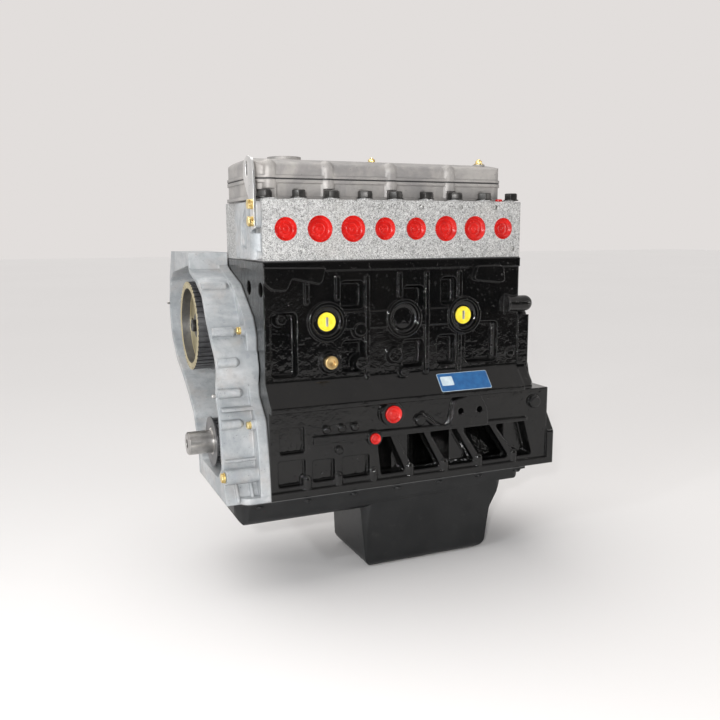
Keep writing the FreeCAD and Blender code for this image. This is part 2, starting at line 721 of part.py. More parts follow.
def connecting_rod(x, sign):
    """Rod, cap, bolts, bearing shell and the crankpin that the big end holds."""
    pin_z = sign * crank_throw
    small_z = pin_z + rod_length
    half = rod_width / 2
    big = prism([(-44, pin_z - 22, 8), (-44, pin_z + 20, 8), (-30, pin_z + 36, 10), (30, pin_z + 36, 10),
                 (44, pin_z + 20, 8), (44, pin_z - 22, 8)], "x", x - half, x + half)
    ring = rod_x(x - half, x + half, 0, pin_z, crankpin_radius + shell_thickness + 9)
    small = rod_x(x - half + 1.5, x + half - 1.5, 0, small_z, gudgeon_radius + 7)
    shank = prism([(-15, pin_z + 30), (-10.5, small_z - 14), (10.5, small_z - 14), (15, pin_z + 30)],
                  "x", x - 10, x + 10)
    recess = prism([(-9.5, pin_z + 44, 3), (-6, small_z - 24, 3), (6, small_z - 24, 3), (9.5, pin_z + 44, 3)],
                   "x", x + 3, x + 11)
    recess_back = prism([(-9.5, pin_z + 44, 3), (-6, small_z - 24, 3), (6, small_z - 24, 3),
                         (9.5, pin_z + 44, 3)], "x", x - 11, x - 3)
    whole = joined([big, ring, small, shank])
    bush_radius = crankpin_radius + bearing_clearance + shell_thickness
    tools = [rod_x(x - half - 1, x + half + 1, 0, pin_z, bush_radius + seat_clearance),
             rod_x(x - half - 1, x + half + 1, 0, small_z, gudgeon_radius + bearing_clearance),
             recess, recess_back]
    for side in (-1, 1):
        tools.append(rod_z(pin_z - 50, pin_z + 30, x, side * 37.5, 4.55))
        tools.append(rod_z(pin_z - 50, pin_z - 20, x, side * 37.5, 8))
    whole = cut(whole, tools)
    upper = whole.common(block(x - 30, x + 30, -60, 60, pin_z, small_z + 40))
    cap = whole.common(block(x - 30, x + 30, -60, 60, pin_z - 60, pin_z))
    pieces = [upper, cap]
    for side in (-1, 1):
        bolt = rod_z(pin_z - 21, pin_z + 28, x, side * 37.5, 4.5)
        pieces.append(joined([bolt, hexagon_z(pin_z - 27, pin_z - 20, x, side * 37.5, 12)]))
    shell = rod_x(x - half + 2, x + half - 2, 0, pin_z, bush_radius)
    pieces.append(shell.cut(rod_x(x - half, x + half, 0, pin_z, crankpin_radius + bearing_clearance)))
    reach = crankpin_gap / 2 - side_clearance
    pieces.append(rod_x(x - reach, x + reach, 0, pin_z, crankpin_radius))
    return pieces


def piston(x, sign):
    pin_z = sign * crank_throw + rod_length
    crown_z = pin_z + pin_height
    radius = bore_radius - piston_clearance
    body = rod_z(pin_z - skirt_length, crown_z, x, 0, radius)
    inside = rod_z(pin_z - skirt_length - 1, crown_z - 16, x, 0, radius - 5)
    bosses = prism([(-19, pin_z - 18, 12), (-15, crown_z - 14), (15, crown_z - 14), (19, pin_z - 18, 12)],
                   "x", x - radius + 3, x + radius - 3)
    body = joined([body.cut(inside), bosses.common(rod_z(pin_z - 30, crown_z, x, 0, radius - 1))])
    gap = rod_width / 2 + 0.5
    tools = [rod_x(x - radius - 1, x + radius + 1, 0, pin_z, gudgeon_radius + bearing_clearance)]
    tools.append(block(x - gap, x + gap, -radius + 5.5, radius - 5.5, pin_z - 32, crown_z - 24))
    bowl = Part.makeTorus(16, 7, V(x, 0, crown_z - 5), V(0, 0, 1))
    tools += [bowl, rod_z(crown_z - 5, crown_z + 1, x, 0, 21)]
    ring_z = [crown_z - 12, crown_z - 20, crown_z - 28]
    for z in ring_z:
        groove = rod_z(z, z + ring_height + 0.1, x, 0, radius + 1)
        tools.append(groove.cut(rod_z(z - 1, z + ring_height + 1, x, 0, radius - ring_depth - 0.2)))
    solids = [cut(body, tools)]
    for z in ring_z:
        ring = rod_z(z + 0.05, z + ring_height, x, 0, radius + 0.02)
        solids.append(ring.cut(rod_z(z - 1, z + ring_height + 1, x, 0, radius - ring_depth)))
    pin = rod_x(x - gudgeon_length / 2, x + gudgeon_length / 2, 0, pin_z, gudgeon_radius)
    solids.append(pin.cut(rod_x(x - gudgeon_length, x + gudgeon_length, 0, pin_z, 8.5)))
    return solids


# Camshaft

def cam_lobe(x, angle):
    nose_height = cam_base_radius + cam_lift - cam_nose_radius
    base = rod_x(x - cam_lobe_width / 2, x + cam_lobe_width / 2, 0, 0, cam_base_radius)
    nose = rod_x(x - cam_lobe_width / 2, x + cam_lobe_width / 2, 0, nose_height, cam_nose_radius)
    slope = math.asin((cam_base_radius - cam_nose_radius) / nose_height)
    y0 = cam_base_radius * math.cos(slope)
    z0 = cam_base_radius * math.sin(slope)
    y1 = cam_nose_radius * math.cos(slope)
    z1 = nose_height + cam_nose_radius * math.sin(slope)
    flank = prism([(-y0, z0), (-y1, z1), (y1, z1), (y0, z0)],
                  "x", x - cam_lobe_width / 2, x + cam_lobe_width / 2)
    lobe = joined([base, nose, flank])
    lobe.rotate(V(0, 0, 0), V(1, 0, 0), angle)
    lobe.translate(V(0, cam_y, cam_z))
    return lobe


def camshaft():
    front = sprocket_front_x() + sprocket_width - 8
    pieces = [rod_x(front, deck_rear_x, cam_y, cam_z, cam_shaft_radius)]
    for x in main_x:
        middle = main_cap_x(x) if x != main_x[4] else deck_rear_x - 11
        pieces.append(rod_x(middle - 10, middle + 10, cam_y, cam_z, cam_journal_radius))
    firing = [0, 180, 90, 270]
    for i, x in enumerate(valve_x):
        cylinder = i // 2
        lag = firing[cylinder] + (110 if i % 2 else 0)
        pieces.append(cam_lobe(x, lag))
    return joined(pieces)


def cam_sprocket():
    front = sprocket_front_x() - cam_sprocket_overhang
    rear = sprocket_front_x() + sprocket_width
    wheel = toothed_wheel(cam_sprocket_radius, cam_teeth, front, rear)
    dish = rod_x(front - 1, front + cam_dish_depth, 0, 0, cam_sprocket_radius - 11)
    back = rod_x(rear - 8, rear + 1, 0, 0, cam_sprocket_radius - 11)
    back = back.cut(rod_x(rear - 9, rear + 1, 0, 0, 26))
    lip = rod_x(rear, rear + 2, 0, 0, cam_sprocket_radius + flange_lip)
    tools = [dish, back, rod_x(front - 1, rear + 5, 0, 0, cam_shaft_radius + seat_clearance)]
    for i in range(3):
        angle = 2 * math.pi * i / 3
        tools.append(rod_x(front - 1, rear + 5, 42 * math.cos(angle), 42 * math.sin(angle), 9))
    body = cut(joined([wheel, lip]), tools)
    body.translate(V(0, cam_y, cam_z))
    return body


def cam_bolt():
    seat = sprocket_front_x() - cam_sprocket_overhang + cam_dish_depth
    washer = rod_x(seat - 3, seat, cam_y, cam_z, 20)
    head = hexagon_x(seat - 10, seat - 3, cam_y, cam_z, 19)
    shank = rod_x(seat - 1, sprocket_front_x() + sprocket_width - 8, cam_y, cam_z, 8)
    return joined([washer, head, shank])


def cam_thrust_plate():
    plate = prism([(cam_y - 34, cam_z - 12, 8), (cam_y - 34, cam_z + 12, 8), (cam_y + 26, cam_z + 26, 10),
                   (cam_y + 26, cam_z - 26, 10)], "x", block_front_x - 0.9, block_front_x)
    return plate.cut(rod_x(block_front_x - 5, block_front_x + 5, cam_y, cam_z, cam_shaft_radius + 1))


# Cylinder head

def cylinder_head():
    body = prism([(-deck_half_width, head_z), (deck_half_width, head_z), (deck_half_width, head_top_z, 2),
                  (-deck_half_width, head_top_z, 2)], "x", head_front_x, head_rear_x)
    pads = [rod_z(head_top_z, head_top_z + 2, x, y, 12.5) for x, y in head_bolt_places()]
    tools = []
    for x, radius in zip(port_x, port_radii):
        tools.append(rod_y(-deck_half_width - 1, -deck_half_width + port_mouth_depth, x, port_z, radius))
        tools.append(rod_y(-deck_half_width + port_mouth_depth - 1, 2, x, port_z, port_bore_radius))
    for x in valve_x:
        tools.append(rod_z(head_z - 1, head_z + 5, x, 0, valve_head_radius + 0.6))
        tools.append(rod_z(head_z + 4, port_z + 6, x, 0, valve_head_radius - 3))
        tools.append(rod_z(port_z, head_top_z + 1, x, 0, valve_stem_radius + 0.1))
        tools.append(rod_between(tappet_axis(x, deck_height - 4), tappet_axis(x, head_top_z + 6),
                                 pushrod_hole_radius))
    for x, y in head_bolt_places():
        tools.append(rod_z(head_z - 1, head_top_z + 3, x, y, head_bolt_radius + 0.3))
    tools += [rod_y(-deck_half_width - 1, -deck_half_width + 9, x, z, 4.3) for x, z in manifold_studs()]
    tools += [rod_x(head_front_x - 1, head_front_x + 9, y, z, 4.3) for y, z in bracket_bolt_places()]
    return cut(joined([body] + pads), tools)




def manifold_studs():
    """Tapped holes for the manifold studs, between the ports."""
    upper = [(x, manifold_upper_z) for x in (-397.4, -327.8, -258.2, -188.6, -125.4)]
    lower = [(x, manifold_lower_z) for x in (-449.8, -345.0, -291.0, -187.0, -91.0)]
    return upper + lower


def port_plugs():
    """Dished blanking plugs that close the ports until the manifolds are fitted."""
    plugs = []
    face = -deck_half_width
    for x, radius in zip(port_x, port_radii):
        fit = radius - seat_clearance
        sleeve = rod_y(face + 0.2, face + port_plug_depth, x, port_z, fit)
        hollow = Part.makeCone(fit - 1.5, fit - 5, port_plug_depth - 2.5, V(x, face, port_z), V(0, 1, 0))
        plugs.append(sleeve.cut(hollow))
    return plugs


def head_bolts():
    bolts = []
    for x, y in head_bolt_places():
        seat = head_top_z + 2
        washer = rod_z(seat, seat + 2, x, y, 12)
        head = hexagon_z(seat + 2, seat + 12, x, y, head_bolt_across)
        shank = rod_z(deck_height - 60, seat + 3, x, y, head_bolt_radius)
        bolts.append(joined([washer, head, shank]))
    return bolts


def head_gasket():
    sheet = block(head_front_x, head_rear_x, -deck_half_width, deck_half_width, gasket_z, head_z)
    tools = [rod_z(gasket_z - 1, head_z + 1, x, 0, bore_radius + 1) for x in cylinder_x]
    tools += [rod_z(gasket_z - 1, head_z + 1, x, y, head_bolt_radius + 0.3) for x, y in head_bolt_places()]
    tools += [rod_between(tappet_axis(x, deck_height - 4), tappet_axis(x, deck_height + 5),
                          pushrod_hole_radius) for x in valve_x]
    return cut(sheet, tools)


# Valve gear

def valves():
    pieces = []
    for x in valve_x:
        face = head_z + 0.6
        head = rod_z(face, face + 3, x, 0, valve_head_radius)
        tulip = Part.makeCone(valve_head_radius - 3.5, valve_stem_radius, 12, V(x, 0, face + 3), V(0, 0, 1))
        stem = rod_z(face + 3, valve_tip_z, x, 0, valve_stem_radius)
        pieces.append(joined([head, tulip, stem]))
    return pieces


def valve_springs():
    """Each spring with its retainer, as a sleeve of the coil's outer and inner size."""
    pieces = []
    for x in valve_x:
        coil = rod_z(head_top_z, spring_top_z, x, 0, spring_radius)
        retainer = rod_z(spring_top_z, spring_top_z + 3, x, 0, spring_radius - 1)
        pieces.append(cut(joined([coil, retainer]),
                          [rod_z(head_top_z - 1, spring_top_z, x, 0, 10.5),
                           rod_z(head_top_z - 1, rocker_shaft_z, x, 0, valve_stem_radius + seat_clearance)]))
    return pieces


def tappets():
    pieces = []
    for x in valve_x:
        foot = cam_z + (cam_base_radius + cam_lift + 0.8) * math.cos(pushrod_lean)
        low = tappet_axis(x, foot)
        high = tappet_axis(x, foot + tappet_length * math.cos(pushrod_lean))
        cup = rod_between(tappet_axis(x, foot + 8), tappet_axis(x, foot + 60), 8)
        pieces.append(rod_between(low, high, tappet_radius).cut(cup))
    return pieces


def pushrods():
    foot = cam_z + (cam_base_radius + cam_lift + 0.8) * math.cos(pushrod_lean)
    return [rod_between(tappet_axis(x, foot + 8.2), tappet_axis(x, rocker_shaft_z - 9), pushrod_radius)
            for x in valve_x]


def rocker_arms():
    arms = []
    reach = pushrod_top_y - rocker_shaft_y
    for x in valve_x:
        half = rocker_width / 2
        z = rocker_shaft_z
        y = rocker_shaft_y
        beam = prism([(-5, z - 5.5, 2), (-5, z + 5, 4), (y - 8, z + 11, 6), (y + 8, z + 11, 6),
                      (y + reach + 6, z + 3, 3), (y + reach + 6, z - 8, 3), (y + 12, z - 11, 6),
                      (y - 12, z - 11, 6)], "x", x - half, x + half)
        hub = rod_x(x - half, x + half, y, z, rocker_shaft_radius + 6)
        arms.append(cut(joined([beam, hub]),
                        [rod_x(x - half - 1, x + half + 1, y, z, rocker_shaft_radius + bearing_clearance)]))
    return arms


def rocker_pedestals():
    stands = []
    for x in cylinder_x:
        leg = prism([(rocker_shaft_y - 18, head_top_z), (rocker_shaft_y - 13, rocker_shaft_z + 6, 8),
                     (rocker_shaft_y + 13, rocker_shaft_z + 6, 8), (rocker_shaft_y + 18, head_top_z)],
                    "x", x - 9, x + 9)
        leg = leg.fuse(rod_x(x - 9, x + 9, rocker_shaft_y, rocker_shaft_z, rocker_shaft_radius + 6))
        stands.append(leg.cut(rod_x(x - 10, x + 10, rocker_shaft_y, rocker_shaft_z,
                                    rocker_shaft_radius + bearing_clearance)))
    return stands


def rocker_shaft():
    return rod_x(valve_x[0] - rocker_width / 2 - 2, valve_x[-1] + rocker_width / 2 + 1,
                 rocker_shaft_y, rocker_shaft_z, rocker_shaft_radius)


# Rocker cover

def cover_plan(inset):
    radius = cover_corner_radius - inset
    return [(cover_front_x + inset, cover_left_y + inset, radius),
            (cover_rear_x - inset, cover_left_y + inset, radius),
            (cover_rear_x - inset, cover_right_y - inset, radius),
            (cover_front_x + inset, cover_right_y - inset, radius)]


def cover_flutes():
    return [main_x[0] + 13, main_x[1] - 2, main_x[2] - 3, main_x[3] - 5]


def flute_columns(z0, z1, grow):
    return [rod_z(z0, z1, x, cover_left_y + flute_radius - flute_proud, flute_radius + grow)
            for x in cover_flutes()]


def rocker_cover_base():
    split = cover_split_z - cover_gasket_thickness / 2
    wall = prism(cover_plan(0), "z", head_top_z, split)
    lip = prism(cover_plan(-2), "z", split - 5, split)
    foot = prism(cover_plan(-3), "z", head_top_z, head_top_z + 5)
    body = joined([wall, lip, foot] + flute_columns(head_top_z, split, 0))
    tools = [prism(cover_plan(cover_wall), "z", head_top_z - 1, split + 1)]
    tools += [rod_z(head_top_z - 1, head_top_z + 16, x, y, 13.2) for x, y in head_bolt_places()]
    return cut(body, tools)


def rocker_cover_gasket():
    low = cover_split_z - cover_gasket_thickness / 2
    high = cover_split_z + cover_gasket_thickness / 2
    sheet = joined([prism(cover_plan(-1), "z", low, high)] + flute_columns(low, high, -0.5))
    return cut(sheet, [prism(cover_plan(cover_wall + 1), "z", low - 1, high + 1)])


def lid_section(inset):
    """Across the lid: upright skirt, a rounded shoulder and a low crown."""
    low = cover_split_z + cover_gasket_thickness / 2 - (1 if inset else 0)
    shoulder = cover_top_z - 9 - inset
    top = cover_top_z - inset
    return [(cover_left_y + inset, low), (cover_left_y + inset, shoulder, 12),
            (-30, top, 60), (36, top, 60),
            (cover_right_y - inset, shoulder, 12), (cover_right_y - inset, low)]


def lid_side(inset):
    low = cover_split_z + cover_gasket_thickness / 2 - (1 if inset else 0)
    top = cover_top_z - inset
    return [(cover_front_x + inset, low), (cover_front_x + inset, top, 14 - inset),
            (cover_rear_x - inset, top, 14 - inset), (cover_rear_x - inset, low)]


def lid_form(inset):
    low = cover_split_z + cover_gasket_thickness / 2 - (1 if inset else 0)
    form = prism(cover_plan(inset), "z", low, cover_top_z + 5)
    form = form.common(prism(lid_section(inset), "x", cover_front_x - 5, cover_rear_x + 5))
    return form.common(prism(lid_side(inset), "y", cover_left_y - 5, cover_right_y + 5))


filler_x = -443.0
filler_radius = 26.0
cover_nut_places = [(-295.0, 0.0), (-116.0, -36.0)]


def rocker_cover_lid():
    low = cover_split_z + cover_gasket_thickness / 2
    lip = prism(cover_plan(-2), "z", low, low + 4)
    flute_y = cover_left_y + flute_radius - flute_proud
    flute_top = cover_top_z - flute_radius - 3
    flutes = [rod_z(low, flute_top, x, flute_y, flute_radius - 1) for x in cover_flutes()]
    domes = [Part.makeSphere(flute_radius - 1, V(x, flute_y, flute_top)) for x in cover_flutes()]
    filler = rod_z(cover_top_z - 6, cover_top_z + 5, filler_x, 0, filler_radius)
    seats = [rod_z(cover_top_z - 6, cover_top_z + 0.5, x, y, 10) for x, y in cover_nut_places]
    body = joined([lid_form(0), lip, filler] + flutes + domes + seats)
    tools = [lid_form(cover_wall), prism(cover_plan(cover_wall), "z", low - 1, low + 5)]
    tools += [rod_z(cover_top_z - 12, cover_top_z + 2, x, y, 4.2) for x, y in cover_nut_places]
    tools.append(rod_z(cover_top_z + 2, cover_top_z + 6, filler_x, 0, filler_radius - 5))
    return cut(body, tools)


def cover_nuts():
    nuts = []
    for x, y in cover_nut_places:
        seat = cover_top_z + 0.5
        washer = rod_z(seat, seat + 1.5, x, y, 8)
        nut = hexagon_z(seat + 1.5, seat + 6.5, x, y, 10)
        tip = rod_z(seat + 6, seat + 8.5, x, y, 3)
        stud = rod_z(rocker_shaft_z + 14, seat + 2, x, y, 4)
        nuts.append(joined([washer, nut, tip, stud]))
    return nuts


# Pieces on the front of the head

housing_front_x = -518.5
bracket_thickness = 3.0
bracket_bolt_y = -90.0
bracket_slot_y = -66.0
bracket_slot_radius = 5.0


def thermostat_housing():
    """The water outlet casting on the head's front face, with its leaf-shaped pocket."""
    base = head_z + 2
    top = head_top_z - 3
    body = prism([(-70, base, 6), (-70, top - 32, 5), (-101, top - 40, 8), (-101, top, 6), (16, top, 8),
                  (22, top - 36, 20), (14, base, 8)], "x", housing_front_x, head_front_x)
    column = rod_z(base, top - 45, head_front_x + 1, -84, 14)
    column = column.common(block(housing_front_x - 30, head_front_x, -120, 0, base, head_top_z))
    flange = prism([(-101, base, 5), (-101, base + 12, 5), (-66, base + 12), (-66, base)],
                   "x", head_front_x - 6, head_front_x)
    pocket = prism([(-50, base + 14, 6), (-48, top - 24, 8), (-42, top - 8, 3), (-16, top - 30, 20),
                    (-14, base + 16, 8)], "x", housing_front_x - 1, housing_front_x + 5)
    holes = [rod_x(housing_front_x - 1, head_front_x + 1, y, z, 4.3) for y, z in bracket_bolt_places()]
    return cut(joined([body, column, flange]), [pocket] + holes)


def bracket_slot_z():
    return [head_top_z + 36, head_top_z + 49]


def lifting_bracket():
    """A flat strip with a wide head and a tall slot."""
    front = housing_front_x - bracket_thickness
    plate = prism([(-99, head_top_z - 43, 6), (-100, head_top_z + 12, 10), (-97, head_top_z + 40, 10),
                   (-92, head_top_z + 56, 10), (-70, head_top_z + 62, 12), (-50, head_top_z + 54, 10),
                   (-48, head_top_z + 30, 12), (-66, head_top_z + 8, 14), (-80, head_top_z - 4, 8),
                   (-80, head_top_z - 43, 6)], "x", front, housing_front_x)
    slot = [rod_x(front - 1, housing_front_x + 1, bracket_slot_y, z, bracket_slot_radius)
            for z in bracket_slot_z()]
    slot.append(block(front - 1, housing_front_x + 1, bracket_slot_y - bracket_slot_radius,
                      bracket_slot_y + bracket_slot_radius, *bracket_slot_z()))
    holes = [rod_x(front - 1, housing_front_x + 1, y, z, 4.3) for y, z in bracket_bolt_places()]
    return cut(plate, slot + holes)


def bracket_bolt_places():
    return [(bracket_bolt_y, head_top_z - 7.5), (bracket_bolt_y, head_top_z - 31.5)]


def lifting_bracket_bolts():
    bolts = []
    for y, z in bracket_bolt_places():
        seat = housing_front_x - bracket_thickness
        head = hexagon_x(seat - 7, seat - 1.5, y, z, 13)
        washer = rod_x(seat - 1.5, seat, y, z, 7.5)
        shank = rod_x(seat - 2, head_front_x + 8, y, z, 4)
        bolts.append(joined([head, washer, shank]))
    return bolts


# Timing case

case_left = [(96, 291), (96, 264), (46, 252, 20), (4, 232, 20), (-20, 196, 12), (-40, 172, 12),
             (-68, 146, 16), (-76, 120, 18), (-64, 82, 16), (-80, 56, 20), (-86, 20, 20), (-92, -14, 20),
             (-96, -46, 10), (-112, rail_z)]
case_right = [(74, rail_z), (76, -44, 14), (90, -8, 20), (106, 22, 20), (142, 48, 30), (184, 72, 30),
              (240, 98, 30), (281, 138, 30), (291, 190, 40), (274, 246, 24), (250, 291)]
case_flange_left = [(96, 291), (96, 270), (78, 262, 10), (15, 243, 16), (-50, 197, 12), (-64, 172, 12),
                    (-66, 116, 20), (-72, 80, 12), (-104, 50, 14), (-114, 6, 20), (-119, -34, 14),
                    (-rail_half_width, rail_z)]
case_opening = [(-60, case_floor_z, 8), (-84, -22, 10), (-80, 18, 16), (-74, 54, 16), (-58, 82, 16),
                (-69, 121, 14), (-62, 141, 12), (-36, 166, 10), (-14, 192, 10), (9, 227, 12),
                (50, 246, 14), (92, 258, 6), (104, 270, 5), (238, 254, 20), (268, 238, 20),
                (285, 190, 36), (275, 142, 26), (236, 105, 26), (180, 80, 26), (138, 56, 26),
                (100, 28, 18), (84, -6, 18), (48, case_floor_z, 8)]
case_base = [(case_rear_x, -rail_half_width), (-550, -rail_half_width, 16), (sump_front_x, -86, 12),
             (sump_front_x, 70, 12), (-548, rail_half_width, 16), (case_rear_x, rail_half_width)]


def case_screw_places():
    """Screws through the rear flange into the block."""
    return [(-95, 43), (-52.5, 178), (96, 228), (104, 60)]


def long_screw_places():
    """Screws in full-length tubes along the outside of the case."""
    return [(-102, -30)]


def case_ribs():
    """Short half-round bosses and webs on the outer wall."""
    ribs = []
    for y, z, length in ((-42, 176, 34), (-72, 134, 30), (-70, 88, 34), (20, 240, 40), (-84, 44, 30)):
        ribs.append(rod_x(case_front_x + 2, case_front_x + length, y, z, 7))
        ribs.append(Part.makeCone(7, 3, 5, V(case_front_x + length, y, z), V(1, 0, 0)))
    for y, z in long_screw_places():
        ribs.append(rod_x(case_front_x + 1, case_rear_x, y, z, 11))
    for z in (110, -8, 66):
        ribs.append(block(case_front_x + 4, case_rear_x, -98, -60, z - 2, z + 2).common(
            prism(case_flange_left + case_right, "x", case_front_x, case_rear_x)))
    for y, z in case_screw_places():
        if y < 0:
            seat = case_rear_x - case_rear_flange - case_boss_height
            ribs.append(rod_x(seat, case_rear_x, y, z, 8))
    for x in (-560, -538):
        ribs.append(prism([(-116, rail_z + 4), (-90, rail_z + 4), (-90, -26)], "x", x - 2, x + 2))
    return ribs


def timing_case():
    shell = prism(case_left + case_right, "x", case_front_x, case_rear_x)
    rear = prism(case_flange_left + case_right, "x", case_rear_x - case_rear_flange, case_rear_x)
    base = prism(case_base, "z", rail_z, rail_z + case_base_thickness)
    body = joined([shell, rear, base] + case_ribs())
    tools = [prism(case_opening, "x", case_front_x - 1, case_rear_x - case_back_thickness)]
    tools.append(rod_x(case_front_x, case_rear_x + 1, 0, 0, 34))
    tools.append(rod_x(case_front_x, case_rear_x + 1, cam_y, cam_z, 30))
    tools.append(rod_x(case_front_x, case_rear_x + 1, pump_y, pump_z, pump_bore_radius))
    for i in range(pump_bolt_count):
        angle = 2 * math.pi * i / pump_bolt_count + math.pi / 2
        tools.append(rod_x(case_front_x, case_rear_x + 1, pump_y + pump_bolt_circle / 2 * math.cos(angle),
                           pump_z + pump_bolt_circle / 2 * math.sin(angle), pump_bolt_radius))
    for y, z in case_screw_places():
        tools.append(rod_x(case_front_x - 1, case_rear_x + 1, y, z, 4.3))
    for y, z in long_screw_places():
        tools.append(rod_x(case_front_x, case_rear_x + 1, y, z, 4.3))
    for y, z in dowel_places:
        tools.append(rod_x(case_front_x - 1, case_front_x + 4, y, z, dowel_radius + seat_clearance))
    return cut(body, tools)


def case_gasket():
    sheet = prism(case_flange_left + case_right, "x", case_rear_x, block_front_x)
    rounds = [rod_x(case_rear_x - 1, block_front_x + 1, 0, 0, 36),
              rod_x(case_rear_x - 1, block_front_x + 1, cam_y, cam_z, 42)]
    rounds += [rod_x(case_rear_x - 1, block_front_x + 1, y, z, 4.3) for y, z in case_screw_places()]
    rounds += [rod_x(case_rear_x - 1, block_front_x + 1, y, z, 4.3) for y, z in long_screw_places()]
    cover = prism([(-rail_half_width, rail_z), (cam_side_y, rail_z), (cam_side_y, cover_seat_bottom_z),
                   (deck_half_width, cover_seat_top_z), (-deck_half_width, cover_seat_top_z)],
                  "x", case_rear_x, block_front_x)
    return cut(sheet.common(cover), rounds)


def case_screws():
    screws = []
    for y, z in case_screw_places():
        inside = y > 0
        seat = case_rear_x - case_back_thickness if inside else case_rear_x - case_rear_flange - case_boss_height
        head = hexagon_x(seat - 6, seat, y, z, 10)
        shank = rod_x(seat - 1, block_front_x + 16, y, z, 4)
        screws.append(joined([head, shank]))
    for y, z in long_screw_places():
        head = hexagon_x(case_front_x - 5, case_front_x + 1, y, z, 13)
        shank = rod_x(case_front_x, case_rear_x + 0.5, y, z, 4)
        screws.append(joined([head, shank]))
    return screws


dowel_places = [(-62, 84), (287, 196)]
dowel_radius = 2.9


def dowels():
    return [rod_x(case_front_x - 5, case_front_x + 4, y, z, dowel_radius) for y, z in dowel_places]


def front_oil_seal():
    low = case_rear_x - case_back_thickness + 0.5
    ring = rod_x(low, case_rear_x, 0, 0, 34 - seat_clearance)
    return ring.cut(rod_x(low - 1, case_rear_x + 1, 0, 0, seal_journal_radius + bearing_clearance))


def rear_oil_seal():
    low = block_rear_x - rear_flange_thickness
    ring = rod_x(low, block_rear_x - 2, 0, 0, rear_seal_radius - seat_clearance)
    return ring.cut(rod_x(low - 1, block_rear_x, 0, 0, flange_radius + bearing_clearance))


# Sump

def sump_plan(inset, rear_x):
    half = rail_half_width - inset
    front = sump_front_x + inset
    return [(rear_x, -half), (-550, -half, 16), (front, -86, 12), (front, 70, 12), (-548, half, 16),
            (rear_x, half)]


def tray_form(inset):
    top = sump_flange_z + (1 if inset else 0)
    half = tray_half_width - inset
    side = [(sump_front_x + 10 + inset, top), (sump_front_x + 10 + inset, tray_front_z + inset, 22),
            (deep_front_x, tray_front_z + inset), (deep_rear_x, tray_rear_z + inset),
            (sump_rear_x - 6 - inset, tray_rear_z + inset, 10), (sump_rear_x - 6 - inset, top)]
    across = [(-half, top), (-half, tray_front_z + inset, 20), (half, tray_front_z + inset, 20), (half, top)]
    plan = [(sump_front_x + 9 + inset, -half + 26, 14), (-548, -half, 20), (sump_rear_x - 4 - inset, -half, 12),
            (sump_rear_x - 4 - inset, half, 12), (-548, half, 20), (sump_front_x + 9 + inset, half - 40, 14)]
    form = prism(side, "y", -half - 1, half + 1)
    form = form.common(prism(across, "x", sump_front_x, sump_rear_x))
    return form.common(prism(plan, "z", tray_front_z - 5, top))


def deep_form(inset):
    top = sump_flange_z - 14
    low = sump_bottom_z + inset
    side = [(deep_front_x + inset, top), (deep_front_x + 8 + inset, low, 20),
            (deep_rear_x - 11 - inset, low, 22), (deep_rear_x - 3 - inset, -139, 20),
            (deep_rear_x + 16 - inset, -102, 20), (deep_rear_x + 26 - inset, top)]
    across = [(deep_left_y + inset, top), (deep_left_y + 7 + inset, low, 16), (deep_right_y - 7 - inset, low, 18),
              (deep_right_y - inset, top)]
    plan = [(deep_front_x + inset, deep_left_y + inset, 24), (deep_rear_x + 26 - inset, deep_left_y + inset, 24),
            (deep_rear_x + 26 - inset, deep_right_y - inset, 24), (deep_front_x + inset, deep_right_y - inset, 24)]
    form = prism(side, "y", deep_left_y - 1, deep_right_y + 1)
    form = form.common(prism(across, "x", deep_front_x - 1, deep_rear_x + 30))
    return form.common(prism(plan, "z", sump_bottom_z, top))


def sump():
    flange = prism(sump_plan(0, sump_rear_x), "z", sump_flange_z - sump_flange_thickness, sump_flange_z)
    drain = rod_z(sump_bottom_z, sump_bottom_z + 8, -180, -30, 16)
    outer = joined([flange, tray_form(0), deep_form(0)])
    inner = tray_form(sump_wall).fuse(deep_form(sump_wall))
    body = cut(outer, [inner]).fuse(drain).removeSplitter()
    holes = [rod_z(sump_flange_z - 5, sump_flange_z + 1, x, y, 3.4) for x, y in sump_bolt_places()]
    holes.append(rod_z(sump_bottom_z - 1, sump_bottom_z + 9, -180, -30, 7.1))
    return cut(body, holes)


def sump_bolt_places():
    along = [-530 + 75.0 * i for i in range(7)]
    return [(x, side * sump_bolt_y) for x in along for side in (-1, 1)]


def sump_gasket():
    sheet = prism(sump_plan(0, sump_rear_x), "z", sump_flange_z, rail_z)
    inner = block(case_rear_x + 8, sump_rear_x - 14, -bay_half_width - 2, bay_half_width + 2,
                  sump_flange_z - 1, rail_z + 1)
    holes = [rod_z(sump_flange_z - 1, rail_z + 1, x, y, 3.4) for x, y in sump_bolt_places()]
    return cut(sheet, [inner] + holes)


def sump_bolts():
    bolts = []
    for x, y in sump_bolt_places():
        seat = sump_flange_z - sump_flange_thickness
        head = hexagon_z(seat - 4.5, seat, x, y, 10)
        shank = rod_z(seat - 1, sump_flange_z, x, y, 3.2)
        bolts.append(joined([head, shank]))
    return bolts


def sump_drain_plug():
    head = hexagon_z(sump_bottom_z + 8, sump_bottom_z + 12, -180, -30, 20)
    shank = rod_z(sump_bottom_z + 0.5, sump_bottom_z + 9, -180, -30, 7)
    return joined([head, shank])


# Oil pump and pick-up

def oil_pump():
    x = main_x[2]
    half = main_cap_length(x) / 2 - 1
    body = prism([(-26, -cap_depth, 0), (26, -cap_depth, 0), (30, -86, 10), (20, -112, 12), (-20, -112, 12),
                  (-30, -86, 10)], "x", x - half, x + half)
    return body


